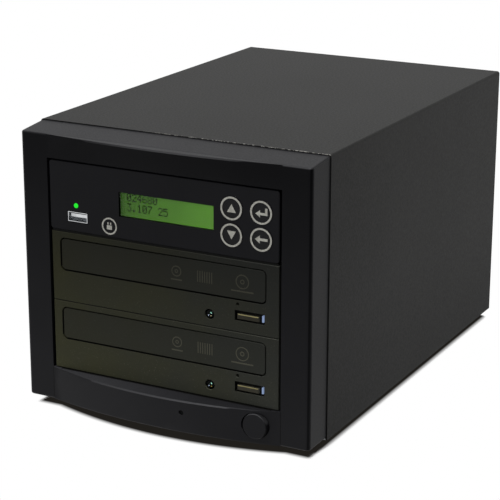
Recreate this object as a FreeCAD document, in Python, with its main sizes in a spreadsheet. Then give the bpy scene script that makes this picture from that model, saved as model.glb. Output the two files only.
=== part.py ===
import FreeCAD, Part
import math
import os
import re
import Sketcher

# A desktop disc duplicator: a steel case with a moulded front bezel, a control
# panel in the top bay and two tray-loading disc drives below it.
# Origin on the floor, midway along the whole depth. +X right, +Y back, +Z up.

V = FreeCAD.Vector

# Each row: name, millimetres or a count, what it measures.
SIZES = [
    ("overrun", 1.0, "how far a cut runs past its piece"),
    ("cover_lap", 0.6, "cover past the bezel on each side"),
    ("brow_drop", 2.7, "bezel's top below the cover's"),
    ("cover_wall", 1.0, "cover's sheet"),
    ("cover_bend", 1.6, "outside radius of the cover's bends"),
    ("cover_fit", 0.2, "clearance of the chassis inside the cover"),
    ("sheet", 1.0, "chassis sheet"),
    ("flange_reach", 11.0, "width of the cover's rear flanges"),
    ("pan_flange", 12.0, "height of the base pan's side flanges"),
    ("foot_height", 5.5, "rubber foot"),
    ("foot_diameter", 18.0, "rubber foot's upper diameter"),
    ("foot_taper", 1.2, "bevel of the foot's lower edge"),
    ("foot_inset", 1.7, "foot's centre inside the bay bracket's wall"),
    ("foot_end_inset", 36.0, "foot's centre from the case's front or rear"),
    ("foot_bore", 4.2, "foot's screw hole"),
    ("foot_sink", 8.5, "recess for the foot's screw head"),
    ("foot_sink_depth", 2.6, "depth of that recess"),
    # Bezel
    ("pillar_width", 17.85, "bezel's pillar beside the bays"),
    ("brow_height", 13.9, "bezel above the opening"),
    ("brow_climb", 2.1, "how far the bezel's top climbs to the rear"),
    ("bezel_depth", 22.2, "pillar face to the cover's front edge"),
    ("bezel_lift", 1.1, "bezel's foot above the cover's lower edge"),
    ("bezel_wall", 2.5, "bezel's side walls"),
    ("bezel_face_wall", 3.0, "bezel's front wall"),
    ("bezel_corner", 2.6, "round of the bezel's front vertical edges"),
    ("bezel_edge", 1.2, "round of the bezel's other outer edges"),
    ("bow_edge", 0.8, "round along the bowed edges"),
    ("bay_side_gap", 1.65, "faceplate to the bezel's pillar"),
    ("bay_top_gap", 0.8, "control panel below the top bar"),
    ("chin_height", 20.5, "bezel below the opening"),
    ("chin_bow_top", 12.5, "how far the chin's upper edge bows forward"),
    ("chin_bow_foot", 9.7, "how far the chin's lower edge bows forward"),
    ("brow_bow_top", 5.0, "how far the top bar's upper edge bows forward"),
    ("brow_bow_foot", 0.4, "how far the top bar's lower edge bows forward"),
    ("clip_width", 8.0, "snap clips behind the bezel"),
    ("clip_thickness", 1.8, "snap clips behind the bezel"),
    ("clip_reach", 3.5, "how far a clip passes the front plate"),
    ("clip_gap", 0.4, "room round a clip in its slot"),
    ("clip_inset", 26.0, "clip's centre from the bezel's upper or lower end"),
    # Power button and lamp on the chin
    ("power_inset", 13.85, "power button's centre from the opening's right side"),
    ("power_rise", 11.0, "power button's centre above the bezel's foot"),
    ("power_cap", 15.2, "power button's diameter"),
    ("power_hole_gap", 0.4, "gap round the power button"),
    ("power_proud", 5.2, "power button's face in front of the pillars"),
    ("power_dome", 0.7, "height of its dome"),
    ("power_flange", 19.0, "width of the flange that keeps the button in"),
    ("power_flange_wall", 1.5, "flange that keeps the button in"),
    ("power_flange_line", 3.4, "flange's front behind the pillar face"),
    ("power_travel", 2.5, "power button's travel"),
    ("power_stem", 4.0, "stem that enters the switch"),
    ("power_stem_reach", 7.2, "stem's length behind the flange"),
    ("stem_end_gap", 1.0, "stem pressed home to the bottom of its bore"),
    ("stem_clearance", 0.05, "running clearance of stems, rods and axles"),
    ("switch_width", 14.0, "power switch's housing"),
    ("switch_depth", 11.0, "power switch's housing"),
    ("lamp_x", 18.0, "lamp hole on the chin"),
    ("lamp_rise", 13.0, "lamp hole above the bezel's foot"),
    ("lamp_diameter", 3.0, "lamp hole"),
    ("lamp_gap", 0.1, "gap round a lamp's lens"),
    ("lamp_sunk", 10.2, "lamp's tip in front of the pillar face"),
    # Bays
    ("bay_gap", 0.5, "lower drive's bottom above the chin"),
    ("drive_pitch", 42.3, "height from drive to drive"),
    ("faceplate_lap", 1.0, "faceplate past the drive's body on each side"),
    ("faceplate_height", 41.8, "half-height drive's faceplate"),
    ("faceplate_thickness", 5.0, "half-height drive's faceplate"),
    ("faceplate_setback", 0.5, "faceplate behind the pillar face"),
    ("faceplate_edge", 0.4, "round of the faceplate's outer edges"),
    ("spigot_depth", 4.0, "rim of the faceplate inside its casing"),
    ("spigot_wall", 1.4, "rim of the faceplate inside its casing"),
    ("spigot_gap", 0.2, "rim's clearance in the casing"),
    ("casing_width", 146.0, "half-height drive's body"),
    ("casing_height", 41.3, "half-height drive's body"),
    ("casing_length", 165.0, "half-height drive's body"),
    ("casing_wall", 1.0, "drive's steel sheet"),
    ("casing_bend", 1.0, "round of the casing's long edges"),
    ("bracket_gap", 0.2, "drive to bay bracket"),
    ("bracket_tail", 1.5, "bay bracket past the drives' rear ends"),
    ("bracket_flange", 12.0, "bay bracket's flanges"),
    ("bracket_top_gap", 13.3, "bay bracket below the chassis's top"),
    ("screw_line", 47.5, "drive's first side screw behind its faceplate"),
    ("screw_pitch", 79.2, "spacing of the drive's side screws"),
    ("screw_rise", 10.0, "side screws above the drive's bottom"),
    ("screw_shaft", 3.0, "side screw"),
    ("screw_head", 6.0, "side screw"),
    ("screw_head_height", 2.0, "side screw"),
    ("screw_length", 4.2, "side screw under its head"),
    ("screw_gap", 0.1, "screw in its hole, all round"),
    ("thumb_head", 9.0, "cover's thumb screw"),
    ("thumb_head_length", 5.5, "cover's thumb screw"),
    ("thumb_slot", 1.2, "driver slot of the thumb screw"),
    ("thumb_length", 7.0, "thumb screw under its head"),
    ("thumb_low", 40.0, "lower thumb screws above the cover's edge"),
    ("thumb_top", 25.5, "upper thumb screws below the cover's top"),
    # Tray
    ("door_inset", 7.35, "door's ends from the faceplate's"),
    ("door_height", 18.5, "tray's front door"),
    ("door_rise", 19.1, "door above the drive's bottom"),
    ("door_x", -1.2, "door's centre"),
    ("door_thickness", 4.0, "tray's front door"),
    ("door_setback", 0.3, "door behind the faceplate's face"),
    ("door_gap", 0.8, "gap round the door"),
    ("door_round", 2.4, "round of the door's corners"),
    ("door_edge", 0.4, "round of the door's front edge"),
    ("tray_inset", 8.5, "tray's sides from the casing's"),
    ("tray_travel", 138.0, "how far the tray comes out"),
    ("tray_stay", 18.0, "tray left in the drive when it is out"),
    ("tray_height", 8.5, "disc tray"),
    ("tray_rise", 22.0, "tray's underside above the drive's bottom"),
    ("tray_rail", 4.0, "tray's side rails"),
    ("tray_hollow", 1.6, "relief under the tray"),
    ("tray_corner", 4.0, "round of the tray's rear corners"),
    ("recess_diameter", 121.0, "seat of a full-size disc"),
    ("recess_depth", 4.2, "seat of a full-size disc"),
    ("small_recess_diameter", 81.0, "seat of a small disc"),
    ("small_recess_depth", 1.3, "seat of a small disc"),
    ("recess_rim", 3.6, "door to the disc's seat"),
    ("slot_width", 38.0, "tray's slot for the turntable and lens"),
    ("rack_height", 2.4, "tray's rack"),
    ("rack_back", 3.0, "rack's bar behind its teeth"),
    ("rack_inset", 6.5, "rack's pitch line inside the tray's side"),
    ("rack_margin", 6.0, "rack's bar short of the tray's ends"),
    ("tooth_pitch", 3.0, "rack and pinion"),
    ("tooth_depth", 2.0, "rack and pinion"),
    ("tooth_root_width", 1.5, "tooth at its root"),
    ("tooth_tip_width", 0.6, "tooth at its tip"),
    ("pinion_teeth", 12, "loading pinion"),
    ("pinion_line", 14.0, "pinion's axis behind the faceplate"),
    ("pinion_bore", 3.0, "pinion's pin"),
    ("pinion_hub", 6.0, "pinion's hub"),
    # Things on the faceplate
    ("lens_inset", 43.6, "lamp lens's centre from the faceplate's right end"),
    ("lens_rise", 7.3, "lamp lens above the drive's bottom"),
    ("lens_diameter", 6.0, "lamp lens"),
    ("lens_tail", 3.0, "lens behind the faceplate"),
    ("lens_sunk", 0.5, "lens behind the faceplate's face"),
    ("pinhole_inset", 25.7, "emergency release hole from the faceplate's right end"),
    ("pinhole_rise", 16.1, "emergency release hole"),
    ("pinhole_diameter", 2.0, "emergency release hole"),
    ("eject_reach", 27.5, "eject recess's left end from the faceplate's right end"),
    ("eject_rise", 6.5, "eject recess above the drive's bottom"),
    ("eject_recess_width", 18.7, "eject recess"),
    ("eject_recess_height", 6.1, "eject recess"),
    ("eject_recess_depth", 2.4, "eject recess"),
    ("eject_width", 13.8, "eject button"),
    ("eject_height", 3.2, "eject button"),
    ("eject_inset", 1.3, "button from the recess's left end"),
    ("eject_lift", 0.8, "button from the recess's lower edge"),
    ("eject_gap", 0.25, "gap round the eject button"),
    ("eject_flange", 1.2, "flange that keeps the button in"),
    ("eject_keeper", 1.0, "flange past the button's hole at each end"),
    ("eject_sunk", 0.4, "button's face behind the faceplate's face"),
    ("eject_edge", 0.5, "round of the eject button's face"),
    ("window_width", 1.0, "lit window beside the eject button"),
    ("window_height", 3.7, "lit window beside the eject button"),
    ("window_sunk", 0.6, "window behind the faceplate's face"),
    ("window_end_gap", 0.8, "window from the recess's right end"),
    # Drive mechanism
    ("deck_inset", 18.0, "deck's sides from the casing's"),
    ("deck_start", 6.0, "deck behind the faceplate"),
    ("deck_end_gap", 7.0, "deck to the casing's rear end"),
    ("deck_rise", 8.0, "deck above the drive's bottom"),
    ("deck_thickness", 2.0, "mechanism deck"),
    ("deck_window", 46.0, "opening under the pickup sled"),
    ("deck_post", 7.0, "deck's posts"),
    ("post_inset", 8.0, "posts from the deck's corners"),
    ("rod_diameter", 3.0, "guide rods"),
    ("rod_spread", 19.0, "rod from the centre line"),
    ("rod_rise", 17.0, "rods above the drive's bottom"),
    ("rod_block", 6.0, "blocks that hold the rods"),
    ("rod_start", 12.0, "first blocks behind the disc's centre"),
    ("rod_end_gap", 7.0, "room for the sled at both ends of the rods"),
    ("sled_width", 46.0, "pickup sled"),
    ("sled_length", 28.0, "pickup sled"),
    ("sled_height", 7.0, "pickup sled"),
    ("sled_start", 19.0, "sled's front edge behind the disc's centre"),
    ("sled_travel", 34.0, "pickup sled's travel"),
    ("pickup_lens", 6.0, "pickup lens"),
    ("pickup_lens_height", 1.6, "pickup lens"),
    ("screw_x", 28.0, "lead screw right of the centre line"),
    ("lead_diameter", 3.0, "lead screw"),
    ("lead_end", 1.6, "lead screw's journals"),
    ("lead_groove", 0.4, "depth of its grooves"),
    ("lead_pitch", 3.0, "lead screw's pitch"),
    ("motor_diameter", 9.4, "sled motor"),
    ("motor_length", 6.5, "sled motor"),
    ("table_diameter", 30.0, "turntable"),
    ("table_height", 2.6, "turntable"),
    ("table_rise", 24.6, "turntable's underside above the drive's bottom"),
    ("rotor_diameter", 26.0, "spindle motor's rotor"),
    ("rotor_height", 6.0, "spindle motor's rotor"),
    ("cone_diameter", 14.8, "turntable's centring cone"),
    ("cone_tip", 11.0, "cone at its top"),
    ("cone_height", 3.0, "turntable's centring cone"),
    ("spindle_pin", 3.0, "spindle's fixed pin"),
    ("spindle_pin_end", 2.0, "pin's end below the rotor's top"),
    ("stator_diameter", 20.0, "spindle motor's stator"),
    ("stator_gap", 0.4, "stator's top below the rotor"),
    ("bridge_width", 22.0, "clamp bridge"),
    ("bridge_rise", 37.6, "clamp bridge above the drive's bottom"),
    ("bridge_thickness", 1.0, "clamp bridge"),
    ("puck_diameter", 25.0, "disc clamp's puck"),
    ("puck_flange", 30.0, "disc clamp's flange"),
    ("puck_flange_height", 1.2, "disc clamp's flange"),
    ("puck_drop", 4.4, "puck below the bridge"),
    ("puck_gap", 0.5, "puck in the bridge's hole"),
    ("board_thickness", 1.6, "circuit boards"),
    ("drive_board_width", 84.0, "drive's circuit board"),
    ("drive_board_length", 92.0, "drive's circuit board"),
    ("drive_board_rise", 4.6, "board above the drive's bottom"),
    ("plug_width", 42.0, "drive's rear connector"),
    ("plug_height", 5.2, "drive's rear connector"),
    ("plug_depth", 6.5, "drive's rear connector"),
    ("plug_gap", 0.3, "connector in its opening"),
    # Control panel
    ("panel_gap", 0.7, "control panel above the upper drive's pitch"),
    ("panel_side_gap", 1.35, "control panel to the bezel's pillar, on average"),
    ("panel_height", 41.3, "control panel"),
    ("panel_x", -0.4, "control panel's centre"),
    ("panel_setback", 0.5, "control panel behind the pillar face"),
    ("panel_thickness", 4.0, "control panel"),
    ("panel_round", 2.0, "round of the panel's corners"),
    ("panel_edge", 0.5, "bevel of the panel's front edge"),
    ("arm_length", 30.0, "arms that carry the panel on the shelf"),
    ("arm_height", 14.0, "arms that carry the panel on the shelf"),
    ("arm_thickness", 1.5, "arms that carry the panel on the shelf"),
    ("arm_rise", 6.0, "arms above the shelf"),
    ("display_inset", 46.7, "display window from the panel's left end"),
    ("display_key_gap", 11.3, "display window to the up key's centre"),
    ("display_rise", 13.3, "window above the panel's lower edge"),
    ("display_height", 14.2, "display window"),
    ("display_sunk", 0.6, "window plate behind the panel's face"),
    ("display_plate", 1.2, "window plate"),
    ("display_lip", 1.5, "panel's rebate round the window plate"),
    ("display_fit", 0.05, "window plate in its rebate"),
    ("module_frame_margin", 2.6, "display's metal frame past the window"),
    ("module_frame_side", 2.4, "frame past the window to each side"),
    ("module_frame_depth", 6.0, "display's metal frame"),
    ("module_board_margin", 2.65, "display's board past the window to each side"),
    ("module_board_height", 33.0, "display's board"),
    ("key_pitch", 18.4, "up key to enter key"),
    ("key_inset", 10.9, "enter key's centre from the panel's right end"),
    ("key_high", 27.8, "upper keys above the panel's lower edge"),
    ("key_low", 12.5, "lower keys above the panel's lower edge"),
    ("key_diameter", 13.6, "key's cap"),
    ("key_gap", 0.2, "gap round a key"),
    ("key_proud", 0.5, "key in front of the panel"),
    ("key_dish", 0.35, "depth of a key's dished face"),
    ("key_rim", 1.2, "rim round the dished face"),
    ("key_flange", 0.4, "flange that keeps a key in"),
    ("key_flange_wall", 1.0, "flange that keeps a key in"),
    ("key_travel", 0.7, "key's travel"),
    ("key_flange_drop", 0.1, "flange behind the panel"),
    ("key_board_line", 10.4, "key board behind the panel's face"),
    ("key_board_width", 33.3, "key board"),
    ("key_board_height", 36.0, "key board"),
    ("key_board_reach", 9.95, "key board's centre left of the enter key"),
    ("tact_width", 6.0, "tact switches"),
    ("indicator_inset", 17.8, "green indicator from the panel's left end"),
    ("indicator_rise", 15.7, "green indicator above the panel's lower edge"),
    ("indicator_diameter", 3.0, "green indicator"),
    ("indicator_proud", 0.4, "indicator in front of the panel"),
    ("indicator_length", 7.0, "green indicator"),
    ("indicator_collar", 1.0, "indicator's collar wider than its hole"),
    ("port_inset", 18.7, "memory port's centre from the panel's left end"),
    ("port_rise", 8.9, "memory port's centre above the panel's lower edge"),
    ("port_width", 13.1, "memory port's shell"),
    ("port_height", 5.8, "memory port's shell"),
    ("port_wall", 0.4, "memory port's shell"),
    ("port_depth", 14.0, "memory port's shell"),
    ("port_sunk", 0.2, "port behind the panel's face"),
    ("port_gap", 0.5, "panel's opening round the port"),
    ("tongue_width", 11.1, "port's contact tongue"),
    ("tongue_thickness", 1.9, "port's contact tongue"),
    ("tongue_drop", 0.6, "tongue above the port's centre"),
    ("tongue_sunk", 1.5, "tongue behind the port's mouth"),
    ("port_back", 3.5, "insulator at the port's rear"),
    ("controller_inset", 8.0, "controller board's sides from the drives'"),
    ("controller_length", 90.0, "controller board"),
    ("controller_line", 18.0, "controller board behind the panel's face"),
    ("controller_tab_width", 24.0, "board's tab under the memory port"),
    ("shelf_rise", 1.5, "controller shelf above the panel's lower edge"),
    ("shelf_flange", 22.0, "shelf's side flanges"),
    ("shelf_start", 16.0, "shelf behind the panel's face"),
    ("shelf_end", 6.0, "shelf past the board's rear end"),
    ("shelf_stud", 5.0, "shelf's studs"),
    ("shelf_stud_inset", 7.0, "studs from the board's edges"),
    ("chip_width", 28.0, "controller's main chip"),
    ("chip_height", 2.4, "controller's main chip"),
    ("sink_width", 34.0, "heat sink on the chip"),
    ("sink_height", 9.0, "heat sink on the chip"),
    ("sink_base", 2.0, "heat sink's base"),
    ("sink_fins", 6, "heat sink's fins"),
    ("sink_fin", 1.6, "heat sink's fin"),
    ("socket_width", 9.0, "controller's cable sockets"),
    ("socket_height", 7.0, "controller's cable sockets"),
    ("socket_depth", 8.0, "controller's cable sockets"),
    # Power supply
    ("psu_width", 125.0, "power supply"),
    ("psu_height", 63.5, "power supply"),
    ("psu_length", 100.0, "power supply"),
    ("psu_x", 0.0, "power supply's centre"),
    ("supply_gap", 10.5, "drives' rear ends to the supply"),
    ("psu_drop", 1.8, "power supply below the chassis's top"),
    ("psu_wall", 1.0, "power supply's sheet"),
    ("psu_window_margin", 2.5, "rear panel's opening below and above, inside the supply's edge"),
    ("psu_window_side", 8.0, "rear panel's opening inside the supply's sides"),
    ("psu_screw_rise", 8.0, "supply's fixing screws from its bottom and top"),
    ("case_screw_length", 5.0, "case screws under their heads"),
    ("foot_screw_head", 7.4, "foot's screw"),
    ("psu_shelf", 10.0, "shelf lip that carries the power supply"),
    ("psu_fan_size", 60.0, "power supply's fan"),
    ("psu_fan_depth", 15.0, "power supply's fan"),
    ("psu_fan_hole_inset", 5.0, "its screw holes from its edges"),
    ("psu_fan_x", -25.0, "power supply's fan"),
    ("case_fan_room", 9.0, "case fan to the base pan and to the supply"),
    ("case_fan_depth", 25.0, "case fan"),
    ("case_fan_hole_inset", 4.25, "its screw holes from its edges"),
    ("case_fan_side", 14.3, "case fan from the chassis's left side"),
    ("fan_rim", 1.7, "fan's duct inside its frame"),
    ("fan_hub_share", 0.42, "fan hub to fan size"),
    ("fan_tip_gap", 1.0, "blade to duct"),
    ("fan_plate", 2.5, "fan's motor plate"),
    ("fan_strut", 3.0, "fan's struts"),
    ("fan_axle", 3.0, "fan's axle"),
    ("fan_gap", 0.8, "rotor from plate and frame faces"),
    ("fan_blades", 7, "fan's blades"),
    ("fan_blade", 1.4, "blade's thickness"),
    ("fan_hub_wall", 2.0, "hub behind the axle's end"),
    ("fan_screw_hole", 4.0, "fan's screw holes"),
    ("guard_wire", 1.5, "wire fan guards"),
    ("inlet_x", 34.0, "mains inlet's centre on the supply"),
    ("inlet_rise", 45.0, "mains inlet above the supply's bottom"),
    ("inlet_width", 28.0, "mains inlet's body"),
    ("inlet_height", 21.0, "mains inlet's body"),
    ("inlet_depth", 20.0, "mains inlet's body"),
    ("inlet_flange", 1.6, "inlet's flange round its body"),
    ("inlet_flange_wall", 1.2, "inlet's flange"),
    ("inlet_cavity_width", 24.4, "mains inlet's socket"),
    ("inlet_cavity_height", 17.0, "mains inlet's socket"),
    ("inlet_cavity_depth", 17.0, "mains inlet's socket"),
    ("inlet_chamfer", 4.0, "socket's two cut corners"),
    ("inlet_pin_width", 2.0, "inlet's pins"),
    ("inlet_pin_height", 4.0, "inlet's pins"),
    ("inlet_pin_length", 14.0, "inlet's pins"),
    ("inlet_pin_spread", 7.0, "live pins from the middle"),
    ("inlet_earth_rise", 4.0, "earth pin above the live pins"),
    ("cutout_gap", 0.2, "inlet and switch in their openings"),
    ("rocker_x", 34.0, "mains switch's centre on the supply"),
    ("rocker_rise", 17.0, "mains switch above the supply's bottom"),
    ("rocker_width", 21.0, "mains switch's frame"),
    ("rocker_height", 15.0, "mains switch's frame"),
    ("rocker_depth", 14.0, "mains switch's frame"),
    ("rocker_wall", 1.5, "mains switch's frame"),
    ("rocker_gap", 0.3, "rocker in its frame"),
    ("rocker_pin", 2.0, "rocker's pivot pin"),
    ("rocker_proud", 1.8, "rocker's ends in front of its frame"),
    ("rocker_body", 4.5, "rocker behind its pivot"),
    ("rocker_tilt", 9.0, "rocker's lean in degrees, its upper end pressed in"),
    ("vent_width", 3.0, "rear panel's vent slots"),
    ("vent_length", 44.0, "rear panel's vent slots"),
    ("vent_side", 17.3, "last vent slot from the chassis's right side"),
    ("vent_count", 8, "rear panel's vent slots"),
    ("vent_gap", 24.0, "case fan to the first vent slot"),
    ("vent_rise", 28.0, "vent slots above the cover's edge"),
    # Cables inside
    ("data_cable", 3.0, "data cables"),
    ("supply_cable", 3.6, "supply cables"),
    ("cable_rise", 18.0, "cables' last fall to each plug"),
    ("cable_low", 7.0, "cables' first bend below the supply"),
    ("cable_high", 14.0, "supply cables' bend above the drives"),
    ("cable_back", 30.0, "cables' reach behind the drives"),
    ("cable_drop_line", 6.0, "cables' fall behind the drives"),
    ("supply_loop", 26.0, "supply cables' reach in front of the supply"),
    ("supply_rise", 42.0, "supply cables above the supply's bottom"),
]

# Sums of those sizes that more than one piece needs.
PLACES = {
    "faceplate_width": "casing_width + 2 * faceplate_lap",
    "bay_width": "faceplate_width + 2 * bay_side_gap",
    "bay_height": "bay_gap + 2 * drive_pitch + panel_gap + panel_height + bay_top_gap",
    "bezel_width": "bay_width + 2 * pillar_width",
    "bezel_height": "chin_height + bay_height + brow_height",
    "case_width": "bezel_width + 2 * cover_lap",
    "cover_height": "bezel_lift + bezel_height + brow_drop",
    "case_depth": "drive_back + supply_gap + psu_length + sheet + cover_wall",
    "front_line": "chin_bow_top - (chin_bow_top + case_depth + thumb_head_length) / 2",
    "chassis_half": "case_width / 2 - cover_wall - cover_fit",
    "chassis_top": "foot_height + cover_height - cover_wall - cover_fit",
    "pan_top": "foot_height + sheet",
    "rear_line": "case_depth - cover_wall - sheet",
    "bezel_floor": "foot_height + bezel_lift",
    "bay_floor": "bezel_floor + chin_height",
    "lower_floor": "bay_floor + bay_gap",
    "upper_floor": "lower_floor + drive_pitch",
    "panel_floor": "upper_floor + drive_pitch + panel_gap",
    "bracket_line": "casing_width / 2 + bracket_gap",
    "casing_floor": "(faceplate_height - casing_height) / 2",
    "casing_start": "faceplate_setback + faceplate_thickness",
    "drive_back": "casing_start + casing_length",
    "door_line": "faceplate_setback + door_setback",
    "tray_line": "door_line + door_thickness",
    "disc_line": "tray_line + recess_rim + recess_diameter / 2",
    "tray_length": "tray_travel + tray_stay",
    "rod_span": "sled_start - rod_start + sled_length + sled_travel + rod_block + rod_end_gap",
    "pinion_radius": "pinion_teeth * tooth_pitch / 2 / pi",
    "deck_line": "casing_start + deck_start",
    "deck_top": "deck_rise + deck_thickness",
    "psu_floor": "chassis_top - psu_drop - psu_height",
    "psu_front": "rear_line - psu_length",
    "port_floor": "port_rise - port_height / 2",
    "display_middle": "display_left + display_width / 2",
    "display_centre": "display_rise + display_height / 2",
    "bracket_length": "drive_back + bracket_tail - bezel_depth - sheet",
    "bracket_rise": "chassis_top - pan_top - bracket_top_gap",
    "thumb_high": "cover_height - thumb_top",
    "power_x": "bay_width / 2 - power_inset",
    "lens_x": "faceplate_width / 2 - lens_inset",
    "pinhole_x": "faceplate_width / 2 - pinhole_inset",
    "eject_left": "faceplate_width / 2 - eject_reach",
    "door_width": "faceplate_width - 2 * door_inset",
    "tray_width": "casing_width - 2 * tray_inset",
    "rack_line": "tray_width / 2 - rack_inset",
    "deck_width": "casing_width - 2 * deck_inset",
    "deck_length": "casing_length - deck_start - deck_end_gap",
    "panel_width": "bay_width - 2 * panel_side_gap",
    "panel_left": "panel_x - panel_width / 2",
    "key_right": "panel_x + panel_width / 2 - key_inset",
    "key_left": "key_right - key_pitch",
    "key_board_x": "key_right - key_board_reach",
    "display_left": "panel_left + display_inset",
    "display_width": "key_left - display_key_gap - display_left",
    "module_board_width": "display_width + 2 * module_board_margin",
    "indicator_x": "panel_left + indicator_inset",
    "port_x": "panel_left + port_inset",
    "controller_width": "casing_width - 2 * controller_inset",
    "shelf_length": "controller_line - shelf_start + controller_length + shelf_end",
    "psu_fan_pitch": "psu_fan_size - 2 * psu_fan_hole_inset",
    "case_fan_size": "psu_floor - pan_top - 2 * case_fan_room",
    "case_fan_pitch": "case_fan_size - 2 * case_fan_hole_inset",
    "case_fan_height": "(pan_top + psu_floor) / 2",
    "case_fan_x": "case_fan_side + case_fan_size / 2 - chassis_half",
    "vent_x": "case_fan_x + case_fan_size / 2 + vent_gap",
    "vent_pitch": "(chassis_half - vent_side - vent_x) / (vent_count - 1)",
}

NAMES = {name for name, value, note in SIZES}
PLANES = {"XY": 1, "XZ": -1, "YZ": 1}
nodes = []

doc = FreeCAD.newDocument("Duplicator")
sheet = doc.addObject("Spreadsheet::Sheet", "Sizes")
for row, (name, value, note) in enumerate(SIZES, 1):
    sheet.set(f"A{row}", note)
    sheet.set(f"B{row}", str(value))
    sheet.setAlias(f"B{row}", name)
doc.recompute()


def bind(text):
    """Write a sum of named sizes as an expression on the sheet."""
    def swap(found):
        word = found.group()
        if word in PLACES:
            return f"({bind(PLACES[word])})"
        return f"Sizes.{word}" if word in NAMES else word
    return re.sub(r"[a-z_][a-z_0-9]*", swap, text)


def worth(text):
    """Work out a sum of named sizes."""
    return float(sheet.evalExpression(bind(text)))


# Pieces and groups

def place(thing, x, y, z):
    """Put a thing at x, at a depth behind the pillar face, and at a height."""
    thing.setExpression("Placement.Base.x", bind(x))
    thing.setExpression("Placement.Base.y", bind(f"front_line + {y}"))
    thing.setExpression("Placement.Base.z", bind(z))


def piece(label, x="0", y="0", z="0"):
    """Start a piece that is built from sketches."""
    body = doc.addObject("PartDesign::Body", label)
    place(body, x, y, z)
    nodes.append(body)
    return body


def group(label, members):
    """Hold like solids in one node."""
    bundle = doc.addObject("Part::Compound", label)
    bundle.Links = members
    for member in members:
        nodes.remove(member)
    nodes.append(bundle)
    doc.recompute()
    return bundle


# Shapes in a sketch

def measure(drawing, kind, where, text):
    """Tie a distance in a sketch to named sizes."""
    number = drawing.addConstraint(Sketcher.Constraint(kind, *where, worth(text)))
    drawing.setExpression(f"Constraints[{number}]", bind(text))


def outline(drawing, *points):
    """A closed outline of straight lines through points given as pairs of sums."""
    spots = [V(worth(x), worth(y), 0) for x, y in points]
    first = drawing.GeometryCount
    count = len(spots)
    drawing.addGeometry([Part.LineSegment(spots[n], spots[(n + 1) % count]) for n in range(count)], False)
    drawing.addConstraint([
        Sketcher.Constraint("Coincident", first + n, 2, first + (n + 1) % count, 1) for n in range(count)
    ])
    for n, (x, y) in enumerate(points):
        measure(drawing, "DistanceX", (-1, 1, first + n, 1), x)
        measure(drawing, "DistanceY", (-1, 1, first + n, 1), y)


def rectangle(drawing, left, low, width, height):
    """A rectangle from its lower left corner."""
    right = f"{left} + {width}"
    top = f"{low} + {height}"
    outline(drawing, (left, low), (right, low), (right, top), (left, top))


def centred(drawing, x, y, width, height):
    """A rectangle about its middle."""
    rectangle(drawing, f"{x} - ({width}) / 2", f"{y} - ({height}) / 2", f"({width})", f"({height})")


def circle(drawing, x, y, diameter):
    """A circle about its centre."""
    number = drawing.GeometryCount
    drawing.addGeometry(Part.Circle(V(worth(x), worth(y), 0), V(0, 0, 1), worth(diameter) / 2), False)
    measure(drawing, "DistanceX", (-1, 1, number, 3), x)
    measure(drawing, "DistanceY", (-1, 1, number, 3), y)
    measure(drawing, "Diameter", (number,), diameter)


def bow(drawing, half, depth, back):
    """A shallow bow in plan: an arc forward of the pillar face, closed by a straight back."""
    b = worth(half)
    d = worth(depth)
    radius = (b * b + d * d) / (2 * d)
    lean = math.atan2(radius - d, b)
    ring = Part.Circle(V(0, radius - d, 0), V(0, 0, 1), radius)
    ends = [V(b, 0, 0), V(b, worth(back), 0), V(-b, worth(back), 0), V(-b, 0, 0)]
    drawing.addGeometry(Part.ArcOfCircle(ring, math.pi + lean, 2 * math.pi - lean), False)
    drawing.addGeometry([Part.LineSegment(ends[n], ends[n + 1]) for n in range(3)], False)
    drawing.addConstraint([
        Sketcher.Constraint("Coincident", 0, 2, 1, 1), Sketcher.Constraint("Coincident", 1, 2, 2, 1),
        Sketcher.Constraint("Coincident", 2, 2, 3, 1), Sketcher.Constraint("Coincident", 3, 2, 0, 1),
        Sketcher.Constraint("Vertical", 1), Sketcher.Constraint("Horizontal", 2),
        Sketcher.Constraint("Vertical", 3),
    ])
    measure(drawing, "DistanceX", (-1, 1, 0, 1), f"-({half})")
    measure(drawing, "DistanceX", (-1, 1, 0, 2), half)
    measure(drawing, "DistanceY", (-1, 1, 0, 1), "0")
    measure(drawing, "DistanceY", (-1, 1, 0, 2), "0")
    measure(drawing, "DistanceY", (-1, 1, 2, 1), back)
    measure(drawing, "Radius", (0,), f"(({half}) * ({half}) + ({depth}) * ({depth})) / (2 * ({depth}))")


# Features

def sketch(body, name, plane, start, shapes):
    """Draw shapes on a plane square to one axis, at a place along that axis."""
    drawing = body.newObject("Sketcher::SketchObject", f"{body.Name}_{name}")
    role = f"{plane}_Plane"
    drawing.AttachmentSupport = [(next(f for f in body.Origin.OriginFeatures if f.Role == role), "")]
    drawing.MapMode = "FlatFace"
    drawing.setExpression("AttachmentOffset.Base.z", bind(f"{PLANES[plane]} * ({start})"))
    for draw, *numbers in shapes:
        draw(drawing, *numbers)
    return drawing


def add(body, name, plane, start, length, *shapes):
    """Extrude shapes along +X, +Y or +Z from a start."""
    drawing = sketch(body, name, plane, start, shapes)
    feature = body.newObject("PartDesign::Pad", f"{body.Name}_{name}_pad")
    feature.Profile = drawing
    feature.Reversed = plane == "XZ"
    feature.setExpression("Length", bind(length))
    doc.recompute()
    return feature


def cut(body, name, plane, start, length, *shapes):
    """Cut shapes along +X, +Y or +Z from a start."""
    drawing = sketch(body, name, plane, start, shapes)
    feature = body.newObject("PartDesign::Pocket", f"{body.Name}_{name}_pocket")
    feature.Profile = drawing
    feature.Reversed = plane != "XZ"
    feature.setExpression("Length", bind(length))
    doc.recompute()
    return feature


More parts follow.
